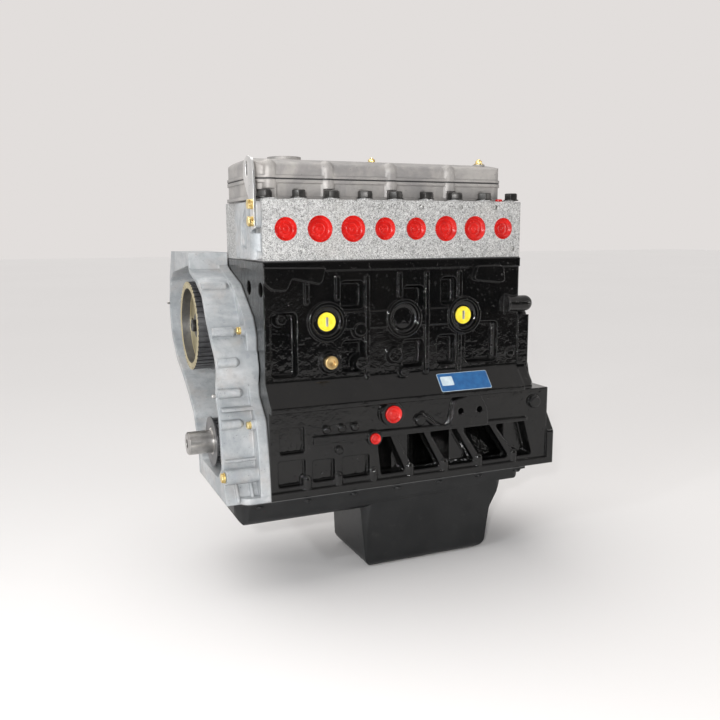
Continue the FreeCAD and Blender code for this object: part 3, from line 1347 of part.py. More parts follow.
def oil_strainer():
    x = main_x[2]
    start = V(x, 0, -112)
    bend = V(x, 0, -150)
    end = V(x + 34, -26, -178)
    tube = joined([rod_between(start, bend, 9), Part.makeSphere(9, bend), rod_between(bend, end, 9)])
    bell = Part.makeCone(34, 12, 16, V(end.x, end.y, -192), V(0, 0, 1))
    return joined([tube, bell])


# Small pieces on the block

def core_plugs():
    plugs = []
    face = -deck_half_width - 2
    for x in core_plug_x:
        cup = rod_y(face, face + 10, x, plug_boss_z, core_plug_radius)
        plugs.append(cup.cut(rod_y(face - 1, face + 2, x, plug_boss_z, core_plug_radius - 2.5)))
    return plugs


def heat_tabs():
    face = -deck_half_width
    tabs = []
    for x in (core_plug_x[0], core_plug_x[2]):
        disc = rod_y(face - 2.5, face, x, plug_boss_z, 14)
        bar = block(x - 2.2, x + 2.2, face - 3.3, face - 2.5, plug_boss_z - 7, plug_boss_z + 7)
        tabs.append(disc.fuse(bar).removeSplitter())
    return tabs


def block_drain_plug():
    face = -deck_half_width - 6
    head = hexagon_y(face - 8, face - 2, drain_x, drain_z, 17)
    collar = rod_y(face - 2, face, drain_x, drain_z, 10.5)
    shank = rod_y(face - 1, face + 16, drain_x, drain_z, 7)
    return joined([head, collar, shank])


def blanking_caps():
    caps = []
    for x, z, radius, depth, proud in ((-316, 45, 12, 10, 10), (-346, 9, 7, 8, 8)):
        face = -rail_half_width + 5 - proud
        sleeve = rod_y(face - 1, face + depth, x, z, radius)
        rim = rod_y(face - 4, face, x, z, radius + 1.6)
        hollow = Part.makeCone(radius - 1, radius - 3, 6, V(x, face - 4.1, z), V(0, 1, 0))
        caps.append(cut(joined([sleeve, rim]), [hollow]))
    return caps


def data_label():
    """A thin plain plate on the sloping shoulder."""
    run = ledge_bottom_z + ledge_nose - ledge_top_z
    out = ledge_y + deck_half_width
    slope = math.hypot(run, out)
    normal = V(0, run / slope, -out / slope)
    along = V(0, out / slope, run / slope)
    start = V(-232, -deck_half_width, ledge_top_z) + along * 6.5 + normal * 0.05
    corners = [start, start + V(92, 0, 0), start + V(92, 0, 0) + along * 33, start + along * 33]
    wire = Part.makePolygon(corners + [corners[0]])
    return Part.Face(wire).extrude(normal * 0.6)


def on_slope(shape):
    """Turns a shape drawn flat, with +Z outward and -Y down the slope, onto the sloping face."""
    top, down, normal, length = cover_slope()
    middle = top + down * (length / 2)
    shape.rotate(V(0, 0, 0), V(1, 0, 0), -math.degrees(math.atan2(normal.y, normal.z)))
    shape.translate(middle)
    return shape


def tappet_covers():
    """Pressed covers over the tappet chambers, each with a raised middle."""
    covers = []
    half = cover_slope()[3] / 2 - 1
    for x0, x1 in chamber_spans():
        low = x0 - chamber_wall + 1
        high = x1 + chamber_wall - 1
        rim = prism([(low, -half, 8), (high, -half, 8), (high, half, 8), (low, half, 8)], "z", 0, 2)
        dome = prism([(x0 + 3, 11 - half, 8), (x1 - 3, 11 - half, 8), (x1 - 3, half - 11, 8),
                      (x0 + 3, half - 11, 8)], "z", 1, 6)
        covers.append(on_slope(joined([rim, dome])))
    return covers


def tappet_cover_bolts():
    bolts = []
    for x0, x1 in chamber_spans():
        middle = (x0 + x1) / 2
        head = hexagon_z(7, 13, middle, 0, 13)
        washer = rod_z(6, 7, middle, 0, 9)
        bolts.append(on_slope(joined([head, washer])))
    return bolts


def write_parts():
    save("cylinder_block", [cylinder_block()])
    save("main_bearing_caps", main_caps())
    save("main_cap_bolts", main_cap_bolts())
    save("main_bearing_shells", half_shells())
    save("camshaft_bushes", cam_bushes())
    save("core_plugs", core_plugs())
    save("heat_tabs", heat_tabs())
    save("block_drain_plug", [block_drain_plug()])
    save("blanking_caps", blanking_caps())
    save("data_label", [data_label()])
    save("tappet_covers", tappet_covers())
    save("tappet_cover_bolts", tappet_cover_bolts())
    save("head_gasket", [head_gasket()])
    save("cylinder_head", [cylinder_head()])
    save("port_plugs", port_plugs())
    save("head_bolts", head_bolts())
    save("valves", valves())
    save("valve_springs", valve_springs())
    save("tappets", tappets())
    save("pushrods", pushrods())
    save("rocker_arms", rocker_arms())
    save("rocker_pedestals", rocker_pedestals())
    save("rocker_shaft", [rocker_shaft()])
    save("rocker_cover_base", [rocker_cover_base()])
    save("rocker_cover_gasket", [rocker_cover_gasket()])
    save("rocker_cover_lid", [rocker_cover_lid()])
    save("cover_nuts", cover_nuts())
    save("thermostat_housing", [thermostat_housing()])
    save("lifting_bracket", [lifting_bracket()])
    save("lifting_bracket_bolts", lifting_bracket_bolts())
    save("timing_case", [timing_case()])
    save("timing_case_gasket", [case_gasket()])
    save("timing_case_screws", case_screws())
    save("cover_dowels", dowels())
    save("front_oil_seal", [front_oil_seal()])
    save("rear_oil_seal", [rear_oil_seal()])
    save("cam_thrust_plate", [cam_thrust_plate()])
    save("sump", [sump()])
    save("sump_gasket", [sump_gasket()])
    save("sump_bolts", sump_bolts())
    save("sump_drain_plug", [sump_drain_plug()])
    save("oil_pump", [oil_pump()])
    save("oil_strainer", [oil_strainer()])
    save("crankshaft", crank_sections())
    save("crank_sprocket", [crank_sprocket()])
    save("crank_key", [crank_key()])
    save("camshaft", [camshaft()])
    save("cam_sprocket", [cam_sprocket()])
    save("cam_sprocket_bolt", [cam_bolt()])
    for i, x in enumerate(cylinder_x):
        save("piston_" + str(i + 1), piston(x, throw_sign[i]))
        save("connecting_rod_" + str(i + 1), connecting_rod(x, throw_sign[i]))


write_parts()
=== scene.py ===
import json
import math
import bpy
from mathutils import Matrix, Vector

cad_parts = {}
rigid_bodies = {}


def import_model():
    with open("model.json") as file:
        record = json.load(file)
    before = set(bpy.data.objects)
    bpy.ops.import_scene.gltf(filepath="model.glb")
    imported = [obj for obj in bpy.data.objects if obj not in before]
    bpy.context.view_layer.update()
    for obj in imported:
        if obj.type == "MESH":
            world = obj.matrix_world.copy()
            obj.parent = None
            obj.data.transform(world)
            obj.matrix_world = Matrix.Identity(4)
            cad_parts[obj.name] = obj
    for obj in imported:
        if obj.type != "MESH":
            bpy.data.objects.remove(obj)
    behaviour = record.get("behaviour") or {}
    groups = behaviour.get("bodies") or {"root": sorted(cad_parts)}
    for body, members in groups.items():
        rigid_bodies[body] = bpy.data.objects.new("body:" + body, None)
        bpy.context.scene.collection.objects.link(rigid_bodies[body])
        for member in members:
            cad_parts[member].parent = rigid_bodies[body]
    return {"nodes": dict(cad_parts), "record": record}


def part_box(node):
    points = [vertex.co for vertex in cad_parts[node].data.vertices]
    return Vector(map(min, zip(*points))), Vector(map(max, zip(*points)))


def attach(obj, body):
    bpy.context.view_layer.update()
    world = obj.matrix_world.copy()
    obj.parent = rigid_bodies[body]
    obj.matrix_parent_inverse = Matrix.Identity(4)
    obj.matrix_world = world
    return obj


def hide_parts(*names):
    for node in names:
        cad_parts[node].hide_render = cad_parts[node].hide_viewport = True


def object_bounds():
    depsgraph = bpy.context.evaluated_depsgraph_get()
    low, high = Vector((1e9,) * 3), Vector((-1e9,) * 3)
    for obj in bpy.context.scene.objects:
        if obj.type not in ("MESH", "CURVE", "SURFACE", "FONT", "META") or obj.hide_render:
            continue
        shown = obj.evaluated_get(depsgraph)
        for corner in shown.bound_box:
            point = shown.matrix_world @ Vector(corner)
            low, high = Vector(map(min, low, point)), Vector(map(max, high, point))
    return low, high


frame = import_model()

cad_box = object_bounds()
nodes = frame["nodes"]
node_slots = {entry["node"]: entry["material_slot"] for entry in frame["record"]["subparts"]}

# Sizes shared by the pieces, in metres

PORT_X = [-0.4760 + 0.0524 * i for i in range(8)]
PORT_RADII = [0.0170, 0.0195, 0.0195, 0.0170, 0.0170, 0.0195, 0.0195, 0.0170]
PORT_Z = 0.3267
HEAD_FACE_Y = -0.103
HEAD_TOP_Z = 0.369
BOLT_SEAT_Z = 0.371
BOLT_X = [-0.5022 + 0.0524 * i for i in range(9)]
COVER_SEAT_Z = 0.4315
PLUG_BOSS_Z = 0.1905
CORE_PLUG_X = [-0.4158, -0.2886, -0.1818]
CORE_PLUG_RADIUS = 0.024
CORE_FLOOR_Y = -0.103
PANEL_FLOOR_Y = -0.096
POCKET_FLOOR_Y = -0.105
BORE_X = [-0.1354 - 0.1048 * i for i in range(4)]
BORE_RADIUS = 0.045235
BORE_OPENING = 1.004
STUD_HOLE_RADIUS = 0.0062
STUD_HOLE_DEPTH = 0.030
UPPER_STUD_X = (-0.3974, -0.3278, -0.2582, -0.1886, -0.1254)
LOWER_STUD_X = (-0.4498, -0.3450, -0.2910, -0.1870, -0.0910)
STUD_PLACES = ([(x, PORT_Z + 0.0326) for x in UPPER_STUD_X]
               + [(x, PORT_Z - 0.0327) for x in LOWER_STUD_X])
SPROCKET_WIDTH = 0.022
TAB_X = [CORE_PLUG_X[0], CORE_PLUG_X[2]]
HEAD_BOLT_SEATS = [(x, -0.084 if i % 2 == 0 else -0.086, BOLT_SEAT_Z) for i, x in enumerate(BOLT_X)]
HEAD_BOLT_SEATS += [(x, 0.061, BOLT_SEAT_Z) for x in BOLT_X[:-1:2]] + [(-0.090, 0.090, BOLT_SEAT_Z)]
COVER_NUT_SEATS = [(-0.295, 0.0, COVER_SEAT_Z), (-0.116, -0.036, COVER_SEAT_Z)]
BRACKET_BOLT_SEATS = [(-0.5215, -0.090, 0.3615), (-0.5215, -0.090, 0.3375)]
CASE_SCREW_SEATS = [(-0.534, -0.095, 0.043), (-0.534, -0.0525, 0.178),
                    (-0.519, 0.096, 0.228), (-0.519, 0.104, 0.060)]
LONG_SCREW_SEATS = [(-0.577, -0.102, -0.030)]
DOWEL_SEATS = [(-0.5732, -0.062, 0.084), (-0.5732, 0.287, 0.196)]
SUMP_BOLT_SEATS = [(-0.530 + 0.075 * i, side * 0.1165, -0.074) for i in range(7) for side in (-1, 1)]
CAM_BOLT_SEATS = [(-0.563, 0.110, 0.171)]
BRASS_PLUG_SEAT = (-0.4118, -0.109, 0.1298)
TOP_CAP_SEAT = (-0.1125, -0.0935, HEAD_TOP_Z)
LARGE_CAP_SEAT = (-0.316, -0.116, 0.045)
SMALL_CAP_SEAT = (-0.346, -0.116, 0.009)
BRACKET_WASHER_HEIGHT = 0.0016
CASE_WASHER_HEIGHT = 0.0012


# Materials

class Value:
    """A material socket. Arithmetic on it adds Math nodes."""

    def __init__(self, look, socket):
        self.look = look
        self.socket = socket

    def maths(self, operation, first, second):
        return self.look.node("ShaderNodeMath", {"operation": operation}, {0: first, 1: second})

    def __add__(self, other):
        return self.maths("ADD", self, other)

    def __radd__(self, other):
        return self.maths("ADD", other, self)

    def __sub__(self, other):
        return self.maths("SUBTRACT", self, other)

    def __rsub__(self, other):
        return self.maths("SUBTRACT", other, self)

    def __mul__(self, other):
        return self.maths("MULTIPLY", self, other)

    def __rmul__(self, other):
        return self.maths("MULTIPLY", other, self)

    def __abs__(self):
        return self.maths("ABSOLUTE", self, 0.0)


class Look:
    """One finish, built from nodes."""

    def __init__(self, name):
        self.material = bpy.data.materials.new(name)
        self.material.use_nodes = True
        self.tree = self.material.node_tree
        self.tree.nodes.clear()
        self.place = self.node("ShaderNodeTexCoord", {}, {}, "Object")

    def node(self, kind, settings, inputs, output=0):
        """A node with these settings, then these values or links in its sockets."""
        made = self.tree.nodes.new(kind)
        for key, value in settings.items():
            setattr(made, key, value)
        for key, value in inputs.items():
            if isinstance(value, Value):
                self.tree.links.new(value.socket, made.inputs[key])
            else:
                made.inputs[key].default_value = value
        return Value(self, made.outputs[output])

    def noise(self, scale, detail, roughness, distortion=0.0, stretch=None):
        place = self.place
        if stretch:
            place = self.node("ShaderNodeMapping", {}, {"Vector": place, "Scale": stretch})
        return self.node("ShaderNodeTexNoise", {"noise_dimensions": "3D"},
                         {"Vector": place, "Scale": scale, "Detail": detail, "Roughness": roughness,
                          "Distortion": distortion}, "Fac")

    def rise(self, value, low, high, start=0.0, end=1.0):
        """A smooth step from start to end, where the value goes from low to high."""
        return self.node("ShaderNodeMapRange", {"interpolation_type": "SMOOTHSTEP", "clamp": True},
                         {"Value": value, "From Min": low, "From Max": high,
                          "To Min": start, "To Max": end})

    def colours(self, share, first, second):
        """The first colour, with a share of the second mixed in."""
        return self.node("ShaderNodeMix", {"data_type": "RGBA", "clamp_factor": True},
                         {0: share, 6: paint(first), 7: paint(second)}, 2)

    def bump(self, height, depth, strength=1.0, corner=0.0):
        """Relief, over corners that are rounded by the given radius."""
        inputs = {"Height": height, "Distance": depth, "Strength": strength}
        if corner:
            inputs["Normal"] = self.node("ShaderNodeBevel", {"samples": 6}, {"Radius": corner})
        return self.node("ShaderNodeBump", {}, inputs)

    def finish(self, **sockets):
        """The material, with these values or links in the principled shader's sockets."""
        inputs = {}
        for key, value in sockets.items():
            inputs[key.replace("_", " ")] = paint(value)
        shader = self.node("ShaderNodeBsdfPrincipled", {}, inputs, "BSDF")
        end = self.tree.nodes.new("ShaderNodeOutputMaterial")
        self.tree.links.new(shader.socket, end.inputs["Surface"])
        return self.material


def paint(value):
    """A colour tuple with its alpha, or the value as it is."""
    if isinstance(value, tuple) and len(value) == 3:
        return value + (1.0,)
    return value


def painted_iron(name, dark, light, gloss, grain, shine):
    """Black gloss paint over sand-cast iron: orange peel, soft lumps and a little dust."""
    look = Look(name)
    peel = look.noise(430, 3, 0.6)
    lumps = look.noise(85, 2, 0.5)
    patches = look.noise(14, 4, 0.6)
    rough_cast = look.rise(look.noise(9, 2, 0.5), 0.50, 0.62)
    pits = look.rise(look.noise(230, 2, 0.6), 0.66, 0.74)
    height = peel * (0.12 + rough_cast * 0.5) + lumps * 1.3 - pits * 0.6
    dust = look.rise(look.noise(38, 6, 0.7), 0.56, 0.74)
    base = look.colours(look.rise(patches, 0.35, 0.65), dark, light)
    base = look.colours(dust * 0.03, base, (0.12, 0.11, 0.10))
    return look.finish(Base_Color=base, Roughness=gloss + patches * 0.05 + dust * 0.05,
                       Specular_IOR_Level=shine, Normal=look.bump(height, grain, 0.8, 0.0032))


def satin_black(name):
    """Semi-gloss black on pressed steel, smooth with faint drag marks and dust."""
    look = Look(name)
    wave = look.noise(18, 3, 0.5)
    peel = look.noise(520, 2, 0.5)
    dust = look.rise(look.noise(60, 6, 0.75), 0.54, 0.76)
    base = look.colours(look.rise(wave, 0.3, 0.7), (0.0055, 0.006, 0.0065), (0.011, 0.0115, 0.012))
    base = look.colours(dust * 0.10, base, (0.10, 0.10, 0.095))
    return look.finish(Base_Color=base, Roughness=0.30 + wave * 0.12 + dust * 0.12,
                       Specular_IOR_Level=0.34, Normal=look.bump(wave * 0.8 + peel * 0.15, 0.0006, 0.6))


def blasted_aluminium(name):
    """Bead-blasted head casting: bright worm-like flecks on a pale grey ground, with darker smears."""
    look = Look(name)
    fleck = look.noise(360, 3, 0.65, 1.6)
    worm = 1.0 - abs(look.noise(300, 2, 0.6, 1.2) - 0.5) * 7.0
    grain = look.noise(1500, 1, 0.5)
    smear = look.noise(48, 6, 0.7, 0.8)
    stain = look.noise(11, 4, 0.6)
    base = look.colours(look.rise(fleck, 0.34, 0.66), (0.17, 0.17, 0.17), (0.36, 0.355, 0.345))
    base = look.colours(look.rise(worm, 0.45, 0.90, 0.0, 0.8), base, (0.74, 0.74, 0.73))
    base = look.colours(look.rise(smear, 0.52, 0.74, 0.0, 0.5), base, (0.17, 0.175, 0.18))
    base = look.colours(look.rise(stain, 0.55, 0.8, 0.0, 0.2), base, (0.52, 0.47, 0.40))
    height = fleck * 0.8 + grain * 0.3 + worm * 0.12 + smear * 0.4
    return look.finish(Base_Color=base, Metallic=0.18 + smear * 0.2, Roughness=0.40 + fleck * 0.2,
                       Normal=look.bump(height, 0.0006, 0.8))


def cast_aluminium(name, dark, light, tint):
    """As-cast aluminium: fine grain, cloudy tone, a few dark pores."""
    look = Look(name)
    cloud = look.noise(13, 5, 0.65, 0.6)
    warmth = look.noise(26, 3, 0.6, 0.5)
    grainy = look.noise(620, 3, 0.6)
    mottle = look.noise(90, 4, 0.65)
    pores = look.rise(look.noise(310, 1, 0.5), 0.70, 0.76)
    base = look.colours(look.rise(cloud, 0.34, 0.66), dark, light)
    base = look.colours(look.rise(warmth, 0.48, 0.70, 0.0, 0.5), base, (0.42, 0.39, 0.37))
    base = look.colours(look.rise(mottle, 0.45, 0.7, 0.0, 0.35), base, tint)
    base = look.colours(pores * 0.5, base, (0.14, 0.14, 0.14))
    height = grainy * 0.5 + mottle * 0.6 - pores * 0.5
    return look.finish(Base_Color=base, Metallic=0.22, Roughness=0.36 + mottle * 0.16 + grainy * 0.06,
                       Normal=look.bump(height, 0.0005, 0.7, 0.0028))


def plain_metal(name, dark, light, rough, metal=1.0, scratch=(1, 1, 1)):
    """Machined or plated metal with fine drag marks."""
    look = Look(name)
    marks = look.noise(260, 4, 0.6, 0.0, scratch)
    film = look.noise(40, 4, 0.6)
    base = look.colours(look.rise(film, 0.3, 0.7), dark, light)
    return look.finish(Base_Color=base, Metallic=metal, Roughness=rough + marks * 0.14 + film * 0.06,
                       Normal=look.bump(marks, 0.0001, 0.5))


def yellow_zinc(name):
    """Yellow passivated zinc with faint rainbow clouds."""
    look = Look(name)
    cloud = look.noise(150, 3, 0.6)
    speck = look.noise(900, 2, 0.5)
    base = look.colours(look.rise(cloud, 0.35, 0.62), (0.62, 0.43, 0.14), (0.86, 0.72, 0.36))
    base = look.colours(look.rise(speck, 0.55, 0.75, 0.0, 0.4), base, (0.62, 0.38, 0.22))
    return look.finish(Base_Color=base, Metallic=0.9, Roughness=0.22 + cloud * 0.14,
                       Normal=look.bump(speck, 0.0001, 0.4))


def red_plastic(name):
    """Glossy moulded polythene, slightly cloudy."""
    look = Look(name)
    cloud = look.noise(60, 3, 0.5)
    scuff = look.rise(look.noise(240, 5, 0.7), 0.58, 0.72)
    base = look.colours(look.rise(cloud, 0.3, 0.7), (0.46, 0.005, 0.003), (0.60, 0.010, 0.006))
    base = look.colours(scuff * 0.14, base, (0.86, 0.25, 0.2))
    return look.finish(Base_Color=base, Roughness=0.20 + cloud * 0.1 + scuff * 0.15,
                       Specular_IOR_Level=0.5, Normal=look.bump(cloud + scuff * 0.2, 0.0003, 0.5))


def yellow_film(name):
    """The yellow of the heat tabs, a little uneven."""
    look = Look(name)
    cloud = look.noise(180, 3, 0.5)
    base = look.colours(look.rise(cloud, 0.3, 0.7), (0.80, 0.62, 0.02), (0.90, 0.76, 0.05))
    return look.finish(Base_Color=base, Roughness=0.30 + cloud * 0.12,
                       Normal=look.bump(cloud, 0.0001, 0.4))


def label_film(name, dark, light):
    """Printed film laid over a rough casting."""
    look = Look(name)
    under = look.noise(110, 3, 0.6)
    wear = look.rise(look.noise(420, 4, 0.7), 0.62, 0.74)
    base = look.colours(look.rise(under, 0.3, 0.7), dark, light)
    base = look.colours(wear * 0.15, base, (0.5, 0.55, 0.6))
    return look.finish(Base_Color=base, Roughness=0.26 + under * 0.16,
                       Normal=look.bump(under, 0.0005, 0.5))


def soft_black(name, tone, rough):
    """Rubber or gasket paper."""
    look = Look(name)
    grain = look.noise(700, 3, 0.6)
    cloud = look.noise(60, 3, 0.6)
    base = look.colours(look.rise(cloud, 0.3, 0.7), tuple(0.7 * c for c in tone), tone)
    return look.finish(Base_Color=base, Roughness=rough + grain * 0.12,
                       Normal=look.bump(grain, 0.0002, 0.5))


finishes = {
    "black_paint": painted_iron("black_paint", (0.0022, 0.0023, 0.0024), (0.0040, 0.0039, 0.0037), 0.045,
                                0.0006, 0.40),
    "black_satin": satin_black("black_satin"),
    "cast_iron": painted_iron("cast_iron", (0.10, 0.09, 0.085), (0.16, 0.15, 0.14), 0.45, 0.0008, 0.4),
    "black_steel": plain_metal("black_steel", (0.035, 0.034, 0.033), (0.085, 0.083, 0.080), 0.26, 0.8),
    "bearing_metal": plain_metal("bearing_metal", (0.46, 0.45, 0.44), (0.60, 0.59, 0.58), 0.26),
    "yellow_tab": yellow_film("yellow_tab"),
    "brass": plain_metal("brass", (0.60, 0.40, 0.16), (0.78, 0.58, 0.28), 0.24),
    "red_plastic": red_plastic("red_plastic"),
    "blue_label": label_film("blue_label", (0.008, 0.080, 0.24), (0.015, 0.120, 0.31)),
    "pale_print": label_film("pale_print", (0.50, 0.60, 0.66), (0.66, 0.74, 0.78)),
    "zinc_yellow": yellow_zinc("zinc_yellow"),
    "bright_zinc": plain_metal("bright_zinc", (0.66, 0.67, 0.67), (0.84, 0.84, 0.83), 0.20),
    "gasket": soft_black("gasket", (0.07, 0.07, 0.07), 0.6),
    "rubber": soft_black("rubber", (0.020, 0.020, 0.021), 0.5),
    "blasted_aluminium": blasted_aluminium("blasted_aluminium"),
    "cut_aluminium": plain_metal("cut_aluminium", (0.78, 0.78, 0.77), (0.92, 0.92, 0.91), 0.16),
    "cast_aluminium": cast_aluminium("cast_aluminium", (0.30, 0.32, 0.335), (0.49, 0.50, 0.505),
                                     (0.24, 0.26, 0.28)),
    "cover_aluminium": cast_aluminium("cover_aluminium", (0.25, 0.24, 0.235), (0.40, 0.38, 0.36),
                                      (0.28, 0.27, 0.26)),
    "machined_steel": plain_metal("machined_steel", (0.36, 0.35, 0.34), (0.56, 0.55, 0.53), 0.22, 1.0,
                                  (0.2, 3, 3)),
    # Dark steel; on the cam sprocket, its teeth and sides in this dark tone are painted shade
    "sprocket_steel": plain_metal("sprocket_steel", (0.12, 0.12, 0.125), (0.20, 0.20, 0.205), 0.30, 0.9),
    "sprocket_gold": plain_metal("sprocket_gold", (0.40, 0.34, 0.20), (0.56, 0.50, 0.32), 0.34, 0.8),
    "piston_alloy": plain_metal("piston_alloy", (0.42, 0.42, 0.42), (0.55, 0.55, 0.54), 0.32),
}


# Modelling helpers

TURNS = {"-x": (0, -math.pi / 2, 0), "-y": (math.pi / 2, 0, 0), "z": (0, 0, 0), "-z": (math.pi, 0, 0)}


def only(*pieces):
    """Leaves nothing selected but these pieces, the first of them active."""
    for other in bpy.context.view_layer.objects:
        other.select_set(False)
    for piece in pieces:
        piece.select_set(True)
    bpy.context.view_layer.objects.active = pieces[0]


def pick(piece, test):
    """Selects the faces whose middle and normal pass the test."""
    for part in (piece.data.vertices, piece.data.edges):
        part.foreach_set("select", [False] * len(part))
    for face in piece.data.polygons:
        face.select = bool(test(face.center, face.normal))


def face_mode():
    bpy.ops.object.mode_set(mode="EDIT")
    bpy.ops.mesh.select_mode(type="FACE")


def object_mode():
    bpy.ops.object.mode_set(mode="OBJECT")


def settle(piece):
    """Puts the piece's place into its mesh, so that its object sits at the origin."""
    only(piece)
    bpy.ops.object.transform_apply(location=True, rotation=True, scale=True)


def applied(piece, kind, **settings):
    """Adds a modifier with these settings and applies it."""
    only(piece)
    modifier = piece.modifiers.new(kind.lower(), kind)
    for key, value in settings.items():
        setattr(modifier, key, value)
    bpy.ops.object.modifier_apply(modifier=modifier.name)


def soften(piece, width, segments=2, corner=30):
    """Rounds the edges that turn by more than the corner's angle, in degrees."""
    applied(piece, "BEVEL", width=width, segments=segments, limit_method="ANGLE",
            angle_limit=math.radians(corner), use_clamp_overlap=True)


def smooth(piece, corner=40):
    only(piece)
    bpy.ops.object.shade_smooth_by_angle(angle=math.radians(corner))


def turned(name, radius, length, steps, sides=48):
    """A round or six-sided piece on the origin, along +Z, its outer end worked inwards in steps.

    Each step is the width of an inset and how far the inset face then rises.
    """
    bpy.ops.mesh.primitive_cylinder_add(vertices=sides, radius=radius, depth=length,
                                        location=(0, 0, length / 2))
    piece = bpy.context.active_object
    piece.name = name
    settle(piece)
    pick(piece, lambda middle, normal: normal.z > 0.9)
    face_mode()
    for width, rise in steps:
        bpy.ops.mesh.inset(thickness=width, depth=rise)
    object_mode()
    return piece


def slab(name, low, high, corner=0.0):
    """A box between two corners, its upright edges rounded."""
    bpy.ops.mesh.primitive_cube_add(size=1, location=[(a + b) / 2 for a, b in zip(low, high)])
    piece = bpy.context.active_object
    piece.name = name
    piece.scale = [b - a for a, b in zip(low, high)]
    settle(piece)
    if corner:
        bpy.ops.object.mode_set(mode="EDIT")
        bpy.ops.mesh.select_mode(type="EDGE")
        bpy.ops.mesh.select_all(action="DESELECT")
        object_mode()
        points = piece.data.vertices
        for edge in piece.data.edges:
            first, second = (points[i].co for i in edge.vertices)
            edge.select = abs(first.z - second.z) > 0.9 * (high[2] - low[2])
        bpy.ops.object.mode_set(mode="EDIT")
        bpy.ops.mesh.bevel(offset=corner, segments=5)
        object_mode()
    return piece


def merged(name, pieces):
    """Joins several pieces into one mesh."""
    only(*pieces)
    bpy.ops.object.join()
    pieces[0].name = name
    return pieces[0]


def stand(piece, seat, facing="z", spin=0.0):
    """Turns a piece made on the origin to its facing and puts it on its seat."""
    piece.rotation_euler = (0, 0, spin)
    settle(piece)
    piece.rotation_euler = TURNS[facing]
    piece.location = seat
    settle(piece)
    return piece


def again(piece, name="copy"):
    """A copy with its own mesh."""
    twin = bpy.data.objects.new(name, piece.data.copy())
    bpy.context.scene.collection.objects.link(twin)
    return twin


def repeated(name, pattern, seats, facing):
    """Copies of the pattern on their seats, each turned a little further, as one piece."""
    made = [stand(again(pattern), seat, facing, 0.7 * i) for i, seat in enumerate(seats)]
    bpy.data.objects.remove(pattern)
    return merged(name, made)


def placed(piece, slot, stands_for=None, body="engine"):
    """Gives a finished piece its finish, the node it stands for and the body it moves with."""
    piece.data.materials.clear()
    piece.data.materials.append(finishes[slot])
    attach(piece, body)
    if stands_for:
        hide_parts(stands_for)
    return piece


def rounded(name, width, body="engine", corner=32, shape=None):
    """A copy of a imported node, shaped further and its edges rounded over, which stands for the node."""
    piece = again(nodes[name], name + "_rounded")
    only(piece)
    face_mode()
    bpy.ops.mesh.select_all(action="SELECT")
    bpy.ops.mesh.remove_doubles(threshold=0.00002)
    bpy.ops.mesh.dissolve_limited(angle_limit=math.radians(0.2))
    object_mode()
    if shape:
        shape(piece)
    soften(piece, width, 3, corner)
    smooth(piece, 55)
    applied(piece, "WEIGHTED_NORMAL", keep_sharp=True)
    return placed(piece, node_slots[name], name, body)


def second_finish(piece, slot, test):
    """Gives the faces that pass the test another finish."""
    piece.data.materials.append(finishes[slot])
    for face in piece.data.polygons:
        if test(face.center, face.normal):
            face.material_index = 1


def hex_head(across, height, washer, washer_height=0.0015, dish=0.0004):
    """A washer and a chamfered hexagon head with a shallow dished top, on the origin."""
    chamfer = 0.08 * across
    ring = turned("washer", washer, washer_height, [(0.0006, 0.0)], 40)
    soften(ring, 0.0003)
    head = turned("head", across / math.sqrt(3), height - chamfer * 0.6,
                  [(chamfer, chamfer * 0.6), (across * 0.20, 0.0), (across * 0.06, -dish)], 6)
    soften(head, 0.0004, 2, 25)
    stand(head, (0, 0, washer_height))
    return merged("hex_head", [head, ring])


def spring_washer(radius, bore, height):
    """A split ring whose ends stand a little apart."""
    ring = turned("ring", radius, height, [(radius - bore, 0.0), (0.0005, -height * 0.9)], 40)
    slit = slab("slit", (0.0, -height * 0.35, -height), (radius * 1.2, height * 0.35, height * 2))
    slit.rotation_euler = (0.5, 0, 0)
    settle(slit)
    applied(ring, "BOOLEAN", operation="DIFFERENCE", object=slit, solver="EXACT")
    bpy.data.objects.remove(slit)
    return ring


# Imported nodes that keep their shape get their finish

for name, node in nodes.items():
    smooth(node, 32)
    node.data.materials.clear()
    node.data.materials.append(finishes[node_slots[name]])


# Castings, pressings and turned pieces, with their edges rounded over

def sink_pockets(piece):
    """Sinks the floors of the cast pockets, so that their walls slope."""
    for floor_y, inset, depth in ((PANEL_FLOOR_Y, 0.0040, 0.0055), (POCKET_FLOOR_Y, 0.0035, 0.0050)):
        pick(piece, lambda middle, normal: normal.y < -0.99 and abs(middle.y - floor_y) < 0.0002)
        face_mode()
        bpy.ops.mesh.inset(thickness=inset, depth=0.0)
        bpy.ops.transform.translate(value=(0, depth, 0))
        object_mode()


def shape_block(piece):
    """Slopes the pockets and opens the bores by a hair, so that a piston's facets clear their walls."""
    sink_pockets(piece)
    for bore_x in BORE_X:
        pick(piece, lambda middle, normal: abs(normal.z) < 0.1
             and abs(math.hypot(middle.x - bore_x, middle.y) - BORE_RADIUS) < 0.0005)
        face_mode()
        bpy.ops.transform.resize(value=(BORE_OPENING, BORE_OPENING, 1.0), center_override=(bore_x, 0, 0))
        object_mode()


rounded("cylinder_block", 0.0028, "engine", 32, shape_block)
head = rounded("cylinder_head", 0.0007)
rounded("timing_case", 0.0020)
rounded("thermostat_housing", 0.0016)
rounded("rocker_cover_base", 0.0010)
rounded("rocker_cover_lid", 0.0022)
rounded("sump", 0.0010, "engine", 40)
rounded("lifting_bracket", 0.0007)
rounded("crankshaft", 0.0008, "crank", 40)
rounded("crank_sprocket", 0.0003, "crank", 40)
cam_wheel = rounded("cam_sprocket", 0.0004, "cam", 40)


def in_stud_hole(middle, normal):
    return (middle.y < HEAD_FACE_Y + STUD_HOLE_DEPTH and abs(normal.y) < 0.9
            and any(math.hypot(middle.x - x, middle.z - z) < STUD_HOLE_RADIUS for x, z in STUD_PLACES))


